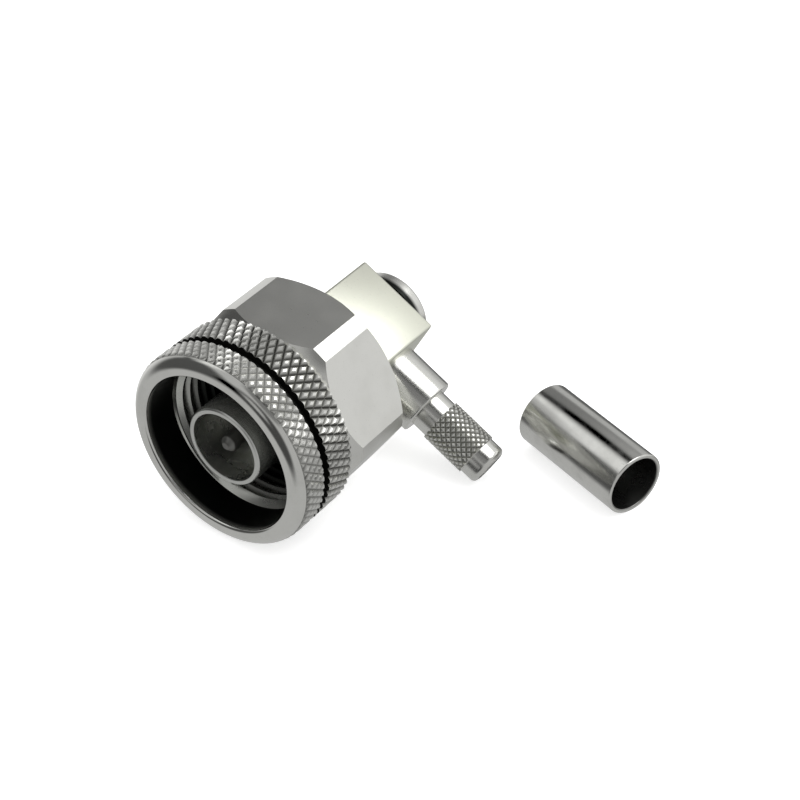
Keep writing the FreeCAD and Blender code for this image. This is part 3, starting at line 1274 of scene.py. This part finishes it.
    def knurls(self) -> list[Knurl]:
        """The two knurled bands.

        Returns:
            The front band, whose ends the rim's round cuts off, and the rear one.
        """
        shared = {"crest": self.band - self.skin, "turns": self.knurl_turns}
        low = {"depth": self.front_depth, "pitch": self.front_pitch, "rounding": self.rim_round}
        high = {"depth": self.knurl_depth, "pitch": self.knurl_pitch}
        front = Knurl(start=self.run_out, end=self.groove[0], **low, **shared)
        rear = Knurl(start=self.groove[1], end=self.rear_end, **high, **shared)
        return [front, rear]

    def thread(self) -> Thread:
        """The coupling thread.

        Returns:
            The thread between the counterbore and its relief.
        """
        return Thread(
            start=self.mouth_depth,
            end=self.thread_end,
            crest=self.thread_crest,
            depth=self.thread_depth,
            pitch=self.thread_pitch,
            mouth=self.mouth,
            relief=self.relief,
        )

    def outside(self) -> list[Ring]:
        """Rings from the rim to the back, with the two knurled bands left open.

        Returns:
            The rings.
        """
        front, rear = self.knurls()
        rings = self.rim()
        rings[-1] = Ring(rings[-1].radius, rings[-1].station, open_after=True)
        rings += [
            # Zone 2, the groove and the neck before the hexagon, is painted near black as shadow.
            Ring(front.edge(), front.end, zone=2),
            Ring(self.groove_floor, self.groove[0], zone=2),
            Ring(self.groove_floor, self.groove[1], zone=2),
            Ring(rear.edge(), rear.start, open_after=True),
            Ring(rear.edge(), rear.end),
            Ring(self.hex_front[0], rear.end, zone=2),
            Ring(*self.hex_front),
        ]
        rings += self.crowned(self.hex_front, self.hex_front_corner)
        rings[-1] = Ring(rings[-1].radius, rings[-1].station, zone=1, swing=self.swing)
        rings += reversed(self.crowned(self.hex_back, self.hex_back_corner))
        return rings + [Ring(*self.hex_back)]

    def inside(self, edge: float = 0.15) -> list[Ring]:
        """Rings from the back to the rim's bore, with the thread left open.

        Args:
            edge: size of the back bore's broken edge, in mm.

        Returns:
            The rings.
        """
        room_front, room_back = self.ring_room_span
        back = self.hex_back[1]
        return [
            Ring(self.back_bore + edge, back),
            Ring(self.back_bore, back - edge),
            Ring(self.back_bore, room_back),
            Ring(self.ring_room, room_back),
            Ring(self.ring_room, room_front),
            Ring(self.back_bore, room_front),
            Ring(self.back_bore, self.shoulder),
            # The relief and the mouth's bore take zone 3, painted darker inwards as shade.
            Ring(self.relief, self.shoulder, zone=3),
            Ring(self.relief, self.thread_end, open_after=True),
            Ring(self.mouth, self.mouth_depth, zone=3),
        ]

    def build(self) -> None:
        """Rings first, then the knurl and the thread, then its place."""
        seat = self.layout.nut
        # The knurls' valleys get painted shade, darker towards the valley floor.
        hollow = (self.band - self.knurl_depth, self.band)
        knurl_plate = Plate(
            "nut_knurl_plate", NICKEL, 0.13, seat, lines=0.0008, hollow=hollow, shade_colour=KNURL_SMUDGE_AND_SHADE
        )
        # Painted shade: the thread is greyer than the nickel and darkens to near black deeper in.
        thread_plate = Plate("nut_thread_painted_shade", THREAD_SHADED_GREY, 0.2, seat, fade=self.thread_fade)
        shape = ringed(self.outside() + self.inside(), self.columns, self.phase)
        plates = [
            Plate("nut_turned_plate", NICKEL, 0.08, seat),
            Plate("nut_milled_plate", NICKEL, 0.24, seat, Grain.MILLED, lines=0.0016),
            # Painted shadow: the groove and the neck are coloured near black.
            Plate("nut_groove_painted_shadow", GROOVE_PAINTED_SHADOW, 0.45, seat, shade_colour=GROOVE_SHADOW_MOTTLE),
            # Painted shade: the bore darkens to near black inwards.
            Plate("nut_bore_painted_shade", NICKEL, 0.3, seat, fade=self.bore_fade),
        ]
        nut = workpiece("union_nut", shape, [plate.make() for plate in plates])
        mark_body(nut)
        knurl_material = knurl_plate.make()
        knurl_tree = Knurl.tree()
        for knurl in self.knurls():
            knurl_tree.apply(nut, knurl.values(knurl_material, self.phase))
            mark_body(nut)
        thread_values = self.thread().values(thread_plate.make(), self.columns, self.phase)
        Thread.tree().apply(nut, thread_values)
        self.keep(seated(nut, seat, crease_deg=20.0), "coupling_nut", "union_nut", "nickel_plate")


def mark_body(piece: bpy.types.Object) -> None:
    """Marks the faces that a piece has so far, so that the next tree gives its finish only to new ones.

    Args:
        piece: the object.
    """
    mesh = piece.data
    mark = mesh.attributes.get(BODY_MARK) or mesh.attributes.new(BODY_MARK, "BOOLEAN", "FACE")
    mark.data.foreach_set("value", [True] * len(mesh.polygons))


@dataclass
class PlugBody(SubAssembly):
    """What stays still inside the nut: outer contact, centre pin, gasket and their insulators.

    All sizes are in mm, as radii and as stations from the nut's front rim.
    """

    sleeve_front: float = 1.35
    sleeve: float = 4.05
    sleeve_bore: float = 3.5
    gasket_front: float = 9.0
    gasket_seat: float = 4.25
    gasket: float = 6.8
    flange_front: float = 10.2
    flange_back: float = 11.45
    flange: float = 7.3
    barrel: float = 6.95
    ring_groove: Point = (12.75, 13.95)
    ring_floor: float = 6.3
    barrel_end: float = 15.2
    neck: float = 4.1
    elbow_front: float = 16.0
    spigot: float = 3.6
    spigot_end: float = 18.5
    spigot_bore: float = 2.6
    bore_step: float = 15.0
    pin_front: float = 1.6
    pin: float = 0.8
    pin_shoulder: float = 1.52
    pin_shoulder_front: float = 6.9
    bead_front: float = 8.9
    pin_stem: float = 1.1
    pin_end: float = 22.45
    pin_slot: Point = (2.6, 0.9)
    pin_taper: float = 0.42
    pin_rounds: Point = (0.22, 0.3)
    front_bevel: float = 0.15
    seat_lead: float = 0.3
    barrel_round: float = 0.2
    gasket_gap: float = 0.05
    gasket_rounds: Point = (0.12, 0.45)
    edge: float = 0.06

    def contact_section(self) -> list[Corner]:
        """Half section of the outer contact.

        Returns:
            Its corners in order.
        """
        edge = self.edge
        return [
            Corner(self.sleeve_bore, self.sleeve_front, edge),
            Corner(self.sleeve - self.front_bevel, self.sleeve_front, edge),
            Corner(self.sleeve, self.sleeve_front + self.front_bevel, edge),
            Corner(self.sleeve, self.gasket_front - self.seat_lead),
            Corner(self.gasket_seat, self.gasket_front - self.seat_lead, edge),
            Corner(self.gasket_seat, self.flange_front),
            Corner(self.flange, self.flange_front, edge),
            Corner(self.flange, self.flange_back, edge),
            Corner(self.barrel, self.flange_back),
            Corner(self.barrel, self.ring_groove[0], edge),
            Corner(self.ring_floor, self.ring_groove[0]),
            Corner(self.ring_floor, self.ring_groove[1]),
            Corner(self.barrel, self.ring_groove[1], edge),
            Corner(self.barrel, self.barrel_end, self.barrel_round),
            Corner(self.neck, self.barrel_end, edge),
            Corner(self.neck, self.elbow_front),
            Corner(self.spigot, self.elbow_front),
            Corner(self.spigot, self.spigot_end),
            Corner(self.spigot_bore, self.spigot_end),
            Corner(self.spigot_bore, self.bore_step),
            Corner(self.sleeve_bore, self.bore_step),
        ]

    def pin_section(self) -> list[Corner]:
        """Half section of the centre pin, with a rounded point.

        Returns:
            Its corners in order.
        """
        edge = self.edge
        return [
            Corner(0.0, self.pin_front),
            Corner(self.pin - self.pin_taper, self.pin_front, self.pin_rounds[0]),
            Corner(self.pin, self.pin_front + self.pin_taper, self.pin_rounds[1]),
            Corner(self.pin, self.pin_shoulder_front),
            Corner(self.pin_shoulder, self.pin_shoulder_front, edge),
            Corner(self.pin_shoulder, self.bead_front),
            Corner(self.pin_stem, self.bead_front),
            Corner(self.pin_stem, self.pin_end, edge),
            Corner(0.0, self.pin_end),
        ]

    def gasket_section(self) -> list[Corner]:
        """Half section of the gasket, with a soft front edge.

        Returns:
            Its corners in order.
        """
        inner = self.gasket_seat + self.gasket_gap
        return [
            Corner(inner, self.flange_front),
            Corner(inner, self.gasket_front, self.gasket_rounds[0]),
            Corner(self.gasket, self.gasket_front, self.gasket_rounds[1]),
            Corner(self.gasket, self.flange_front),
        ]

    def build(self) -> None:
        """Turns the three pieces and dresses the ones of the frame that stay."""
        seat = self.layout.plug
        # Painted shade: the contact is coloured greyer than the nickel outside.
        plate = Plate("contact_painted_shade_plate", CONTACT_SHADED_GREY, 0.2, seat)
        section = turned(self.contact_section(), columns=144)
        contact = workpiece("outer_contact_turned", section, [plate.make()])
        self.keep(seated(contact, seat), "outer_contact", "plug_body", "nickel_plate")

        # Painted shade: the pin is coloured dark grey, so that only its rounded tip shows a highlight.
        silver = Plate("pin_silver_painted_shade", PIN_PAINTED_SHADE, 0.36, seat, pitch=0.09, lines=0.0008)
        section = turned(self.pin_section(), columns=64, steps=6)
        pin = workpiece("centre_pin_turned", section, [silver.make()])
        length, width = self.pin_slot
        slot = box_tool((4 * self.pin, 2 * length, width), (0.0, self.pin_end, 0.0))
        carve(pin, [slot])
        self.keep(seated(pin, seat), "centre_pin", "plug_body", "pin_plate")

        rubber = Moulded("gasket_rubber", RUBBER, 0.62, seat, mottle=RUBBER_MOTTLE)
        section = turned(self.gasket_section(), columns=144, steps=8)
        gasket = workpiece("gasket_ring", section, [rubber.make()])
        self.keep(seated(gasket, seat), "sealing_gasket", "plug_body", "silicone_rubber")

        white = Moulded("white_insulator", WAXY_WHITE, 0.38, seat, mottle=WAXY_MOTTLE).make()
        for node in ("front_insulator", "elbow_insulator", "stem_insulator"):
            self.dress_node(node, white)
        bronze = Plate("ring_bronze", BRONZE, 0.3, seat, shade_colour=BRONZE_SHADE)
        self.dress_node("retaining_ring", bronze.make())


def box_tool(size: Sequence[float], centre: Sequence[float]) -> bpy.types.Object:
    """A box to cut with.

    Args:
        size: its sides, in mm.
        centre: its middle.

    Returns:
        The box as a workpiece.
    """
    shape = bmesh.new()
    bmesh.ops.create_cube(shape, size=1.0)
    place = Matrix.Translation(centre) @ Matrix.Diagonal((*size, 1.0))
    bmesh.ops.transform(shape, matrix=place, verts=shape.verts)
    return workpiece("box_tool", shape, [])


def drill(radius: float, start: float, end: float, columns: int = 96) -> bpy.types.Object:
    """A cylinder on the Y axis to cut with.

    Args:
        radius: its radius, in mm.
        start: station of one end.
        end: station of the other.
        columns: how many steps its turn has.

    Returns:
        The cylinder as a workpiece.
    """
    rings = [Ring(radius, start), Ring(radius, end), Ring(0.0, end), Ring(0.0, start)]
    tool = workpiece("drill", ringed(rings, columns), [])
    face_outwards(tool.data)
    return tool


def carve(piece: bpy.types.Object, tools: Sequence[bpy.types.Object]) -> None:
    """Cuts tools out of a workpiece and discards them.

    Args:
        piece: the workpiece, in mm.
        tools: closed shapes in the same frame.
    """
    face_outwards(piece.data)
    for tool in tools:
        cut = piece.modifiers.new(tool.name, "BOOLEAN")
        cut.operation = "DIFFERENCE"
        cut.solver = "EXACT"
        cut.object = tool
    bake(piece)
    for tool in tools:
        mesh = tool.data
        bpy.data.objects.remove(tool)
        bpy.data.meshes.remove(mesh)


@dataclass
class Elbow(SubAssembly):
    """Square elbow block and the cap pressed into its back.

    All sizes are in mm, with stations from the nut's front rim.
    """

    front: float = 16.0
    length: float = 9.2
    width: float = 9.0
    edge: float = 0.25
    spigot: float = 3.6
    spigot_end: float = 18.5
    cavity: float = 3.25
    cap_seat: float = 3.7
    cap_seat_station: float = 24.2
    arm_station: float = 21.15
    stem_bore: float = 2.6
    cap: float = 4.15
    cap_front: float = 25.55
    cap_back: float = 27.2
    cap_round: float = 0.4
    cap_edge: float = 0.06
    # Painted shade: stations over which the cap darkens towards the block, dark where it meets it.
    cap_fade: Point = (26.4, 25.9)
    overlap: float = 0.5

    def block(self) -> bmesh.types.BMesh:
        """The block with rounded edges.

        Returns:
            Its shape, in mm.
        """
        shape = bmesh.new()
        bmesh.ops.create_cube(shape, size=1.0)
        centre = Matrix.Translation((0.0, self.front + self.length / 2, 0.0))
        size = Matrix.Diagonal((self.width, self.length, self.width, 1.0))
        bmesh.ops.transform(shape, matrix=centre @ size, verts=shape.verts)
        edges = list(shape.edges)
        bmesh.ops.bevel(
            shape, geom=edges, offset=self.edge, segments=4, profile=0.5, affect="EDGES"
        )
        return shape

    def bores(self) -> list[bpy.types.Object]:
        """What is cut out of the block for the pin's way and for the stem.

        Returns:
            Closed cylinders to cut with.
        """
        back = self.front + self.length
        side = drill(self.stem_bore, 0.0, self.width)
        turn = Matrix.Rotation(-math.pi / 2, 4, "Z")
        side.data.transform(Matrix.Translation((0.0, self.arm_station, 0.0)) @ turn)
        return [
            drill(self.spigot, self.front - self.overlap, self.spigot_end),
            drill(self.cavity, self.spigot_end - self.overlap, self.cap_seat_station + self.overlap),
            drill(self.cap_seat, self.cap_seat_station, back + self.overlap),
            side,
        ]

    def cap_section(self) -> list[Corner]:
        """Half section of the back cap.

        Returns:
            Its corners in order.
        """
        return [
            Corner(0.0, self.cap_seat_station),
            Corner(self.cap_seat, self.cap_seat_station),
            Corner(self.cap_seat, self.cap_front),
            Corner(self.cap, self.cap_front, self.cap_edge),
            Corner(self.cap, self.cap_back, self.cap_round),
            Corner(0.0, self.cap_back),
        ]

    def build(self) -> None:
        """Cuts the block and turns the cap."""
        seat = self.layout.plug
        plate = Plate("elbow_plate", WARM_NICKEL, 0.26, seat, Grain.MILLED, lines=0.0018, pitch=0.2)
        block = workpiece("elbow_block", self.block(), [plate.make()])
        carve(block, self.bores())
        self.keep(seated(block, seat), "elbow_housing", "plug_body", "nickel_plate")

        # Painted shade: the cap is coloured dark where it meets the block.
        plate = Plate("cap_plate", NICKEL, 0.2, seat, fade=self.cap_fade)
        section = turned(self.cap_section(), columns=128, steps=8)
        cap = workpiece("back_cap_turned", section, [plate.make()])
        self.keep(seated(cap, seat), "back_cap", "plug_body", "nickel_plate")


@dataclass
class CableStem(SubAssembly):
    """Collar, neck, knurled length and smooth tip of the cable arm.

    All sizes are in mm, as radii and as reaches from the mating axis.
    """

    root: float = 3.4
    spigot: float = 2.6
    face: float = 4.5
    collar: float = 3.0
    collar_end: float = 9.5
    neck: float = 2.05
    knurl_start: float = 11.2
    knurl_end: float = 15.9
    knurl: float = 2.25
    tip: float = 2.075
    reach: float = 17.7
    bore: float = 1.5
    bush: float = 1.9
    bush_end: float = 6.6
    knurl_turns: int = 20
    knurl_pitch: float = 0.66
    knurl_depth: float = 0.15
    knurl_skin: float = 0.003
    knurl_step: float = 0.08
    collar_round: float = 0.22
    tip_round: float = 0.54
    bore_bevel: float = 0.12

    def band(self) -> Knurl:
        """The knurled length.

        Returns:
            The knurl of the stem.
        """
        return Knurl(
            start=self.knurl_start,
            end=self.knurl_end,
            crest=self.knurl - self.knurl_skin,
            depth=self.knurl_depth,
            turns=self.knurl_turns,
            pitch=self.knurl_pitch,
        )

    def rings(self) -> list[Ring]:
        """The stem's rings, with the knurled length left open.

        Returns:
            The rings.
        """
        band = self.band()
        sharp = [
            Corner(self.bore, self.bush_end),
            Corner(self.bush, self.bush_end),
            Corner(self.bush, self.root),
            Corner(self.spigot, self.root),
            Corner(self.spigot, self.face),
            Corner(self.collar, self.face),
            Corner(self.collar, self.collar_end, self.collar_round),
            Corner(self.neck, self.collar_end),
            Corner(self.neck, self.knurl_start),
            Corner(self.knurl, self.knurl_start),
            Corner(self.knurl, self.knurl_end),
            Corner(self.tip, self.knurl_end + self.knurl_step),
            Corner(self.tip, self.reach, self.tip_round),
            Corner(self.bore + self.bore_bevel, self.reach),
            Corner(self.bore, self.reach - self.bore_bevel),
        ]
        rings = []
        for radius, reach in softened(sharp, steps=6):
            if math.isclose(radius, self.knurl, abs_tol=SAME):
                first = math.isclose(reach, self.knurl_start, abs_tol=SAME)
                rings.append(Ring(band.edge(), reach, open_after=first))
            else:
                rings.append(Ring(radius, reach))
        return rings

    def build(self) -> None:
        """Turns the stem, cuts its knurl and lays it on the arm's axis."""
        seat = self.layout.arm
        plate = Plate("stem_plate", NICKEL, 0.16, seat).make()
        # The knurl's valleys get painted shade, darker towards the valley floor.
        hollow = (self.knurl - self.knurl_depth, self.knurl)
        cut = Plate(
            "stem_knurl_plate", NICKEL, 0.2, seat, lines=0.0006, hollow=hollow, shade_colour=STEM_SMUDGE_AND_SHADE
        )
        stem = workpiece("cable_stem_turned", ringed(self.rings(), 3 * self.knurl_turns), [plate])
        mark_body(stem)
        Knurl.tree().apply(stem, self.band().values(cut.make(), 0.0))
        self.keep(seated(stem, seat), "cable_stem", "plug_body", "nickel_plate")


@dataclass
class CrimpFerrule(SubAssembly):
    """Thin tube that lies on the floor beside the plug. Sizes in mm."""

    outer: float = 3.2
    inner: float = 2.75
    length: float = 13.0
    edge: float = 0.14
    # Painted shade: depths from the bore over which the tube's inside is coloured darker.
    dull_depths: Point = (0.01, 0.2)

    def build(self) -> None:
        """Turns the tube about its own middle."""
        seat = self.layout.ferrule
        half = self.length / 2
        corners = [
            Corner(self.inner, -half, self.edge),
            Corner(self.outer, -half, self.edge),
            Corner(self.outer, half, self.edge),
            Corner(self.inner, half, self.edge),
        ]
        # Painted shade: the tube's inside and the inner edge of its ends are coloured dark.
        hollow = (self.inner + self.dull_depths[0], self.inner + self.dull_depths[1])
        inside_shade = {"hollow": hollow, "shade_colour": FERRULE_SMUDGE_AND_SHADE}
        plate = Plate("ferrule_plate", NICKEL, 0.11, seat, Grain.DRAWN, pitch=0.3, **inside_shade)
        tube = workpiece("ferrule_tube", turned(corners, columns=128, steps=5), [plate.make()])
        self.keep(seated(tube, seat), "crimp_ferrule", "plug_body", "nickel_plate")


# Studio

@dataclass(frozen=True)
class Panel:
    """A soft panel of the studio, as the metal sees it from everywhere.

    Attributes:
        direction: where it hangs, seen from the object.
        spread: cosines of the angles where it begins to fade and where it is gone.
        level: how much it adds to the light from there. A negative one is a dark flag.
    """

    direction: tuple[float, float, float]
    spread: tuple[float, float]
    level: float


@dataclass
class Studio:
    """Pale floor, soft light and the camera.

    The camera was fitted to the circles of the nut, the elbow's corners and the ferrule.

    Attributes:
        layout: gives the floor's height.
        azimuth_deg: heading of the camera about the vertical.
        elevation_deg: its height above the horizon.
        distance: from the fitted plane, in mm.
        aim: the frame's centre across and up, in mm.
        fit_origin: the frame's origin in the fitted plane, along Y in mm.
        lens: focal length in mm.
        sensor: width of the sensor in mm.
        nearest: where the view begins, in metres.
        floor_reach: half the floor's side, in metres.
        floor_shade: the sheet's own shade.
        base: light that the plate mirrors where no panel hangs.
        fill: light that falls on everything else.
        panels: what hangs round the object.
        key_place: where the soft lamp hangs, in metres.
        key_size: its side, in metres.
        key_power: its power in watts.
    """

    layout: Layout
    azimuth_deg: float = 35.729
    elevation_deg: float = 38.95
    distance: float = 175.0
    aim: Point = (16.415, 4.85)
    fit_origin: float = -1.3
    lens: float = 88.6
    sensor: float = 36.0
    nearest: float = 0.005
    floor_reach: float = 3.0
    floor_shade: Colour = (0.93, 0.93, 0.93)
    base: float = 0.60
    fill: float = 1.0
    panels: tuple[Panel, ...] = (
        Panel((0.30, 0.62, 0.72), (0.72, 0.93), 0.32),
        Panel((-0.62, -0.10, 0.77), (0.90, 0.97), 0.45),
        Panel((-0.45, 0.30, 0.84), (0.95, 0.99), -0.30),
        Panel((0.78, 0.62, 0.0), (0.80, 0.95), 0.34),
        Panel((0.64, 0.63, -0.44), (0.97, 0.99), -0.55),
        Panel((-0.84, 0.48, -0.24), (0.80, 0.95), 0.35),
        Panel((-0.36, 0.61, 0.70), (0.86, 0.93), -0.36),
        Panel((-0.75, -0.60, 0.15), (0.78, 0.92), -0.50),
        Panel((0.10, -0.97, -0.02), (0.80, 0.93), -0.52),
        Panel((0.0, -0.98, 0.16), (0.975, 0.995), 0.5),
        Panel((0.45, -0.45, 0.77), (0.88, 0.96), -0.36),
        Panel((-0.28, 0.90, -0.33), (0.94, 0.99), -0.46),
        Panel((0.42, -0.22, 0.88), (0.97, 0.992), -0.24),
        Panel((-0.80, -0.12, 0.59), (0.97, 0.995), -0.45),
    )
    key_place: tuple[float, float, float] = (0.12, 0.10, 0.28)
    key_size: float = 0.22
    key_power: float = 0.35

    def floor(self) -> None:
        """A large pale sheet under the object, which the plate doesn't mirror."""
        shape = bmesh.new()
        bmesh.ops.create_grid(shape, x_segments=1, y_segments=1, size=self.floor_reach)
        mesh = bpy.data.meshes.new("studio_floor")
        shape.to_mesh(mesh)
        shape.free()
        mesh.transform(Matrix.Translation((0.0, 0.0, self.layout.floor)))
        mesh.materials.append(Paper("studio_paper", self.floor_shade, roughness=0.9).make())
        sheet = bpy.data.objects.new("studio_floor", mesh)
        sheet.visible_glossy = False
        bpy.context.scene.collection.objects.link(sheet)

    def world(self) -> None:
        """Soft panels that the plate mirrors, and an even pale backdrop that lights the sheet."""
        world = bpy.data.worlds.new("studio_world")
        bpy.context.scene.world = world
        world.use_nodes = True
        world.node_tree.nodes.clear()
        graph = Graph(world.node_tree)
        heading = graph.add("ShaderNodeTexCoord").outputs["Generated"]
        level: Number = self.base
        for panel in self.panels:
            aim = tuple(Vector(panel.direction).normalized())
            parts = {"settings": {"operation": "DOT_PRODUCT"}, "sockets": {0: heading, 1: aim}}
            near = graph.wire("ShaderNodeVectorMath", "Value", **parts)
            level = near.ramp(*panel.spread) * panel.level + level
        mirrored = graph.add("ShaderNodeBackground", sockets={"Strength": level})
        even = graph.add("ShaderNodeBackground", sockets={"Strength": self.fill})
        path = graph.add("ShaderNodeLightPath")
        sockets = {0: path.outputs["Is Glossy Ray"], 1: even.outputs[0], 2: mirrored.outputs[0]}
        both = graph.add("ShaderNodeMixShader", sockets=sockets)
        graph.add("ShaderNodeOutputWorld", sockets={"Surface": both.outputs[0]})

    def lamp(self, name: str, place: Sequence[float], size: float, power: float) -> None:
        """Hangs a square soft lamp that faces the object.

        Args:
            name: the lamp's name.
            place: where it hangs, in metres.
            size: its side, in metres.
            power: its power in watts.
        """
        data = bpy.data.lights.new(name, "AREA")
        data.size = size
        data.energy = power
        lamp = bpy.data.objects.new(name, data)
        lamp.location = place
        lamp.rotation_euler = (-Vector(place)).to_track_quat("-Z", "Y").to_euler()
        bpy.context.scene.collection.objects.link(lamp)

    def camera(self) -> None:
        """Sets the camera at the photograph's angle."""
        azimuth, elevation = math.radians(self.azimuth_deg), math.radians(self.elevation_deg)
        turn = Euler((math.pi / 2 - elevation, 0.0, azimuth)).to_matrix().to_4x4()
        offset = turn @ Vector((*self.aim, self.distance))
        data = bpy.data.cameras.new("camera")
        data.lens = self.lens
        data.sensor_width = self.sensor
        data.clip_start = self.nearest
        camera = bpy.data.objects.new("camera", data)
        place = (Vector((0.0, self.fit_origin, 0.0)) + offset) * MM
        camera.matrix_world = Matrix.Translation(place) @ turn
        bpy.context.scene.collection.objects.link(camera)
        bpy.context.scene.camera = camera

    def build(self) -> None:
        """Sets up the whole studio."""
        bpy.context.scene.view_settings.view_transform = "Standard"
        self.floor()
        self.world()
        self.lamp("key_softbox", self.key_place, self.key_size, self.key_power)
        self.camera()


def main() -> None:
    """Builds the sub-assemblies in order, reports them and sets up the studio."""
    logging.basicConfig(level=logging.INFO, format="%(message)s")
    layout = Layout.read()
    for kind in (CouplingNut, PlugBody, Elbow, CableStem, CrimpFerrule):
        assembly = kind(layout)
        assembly.build()
        assembly.report()
    Studio(layout).build()


if __name__ == "__main__":
    main()
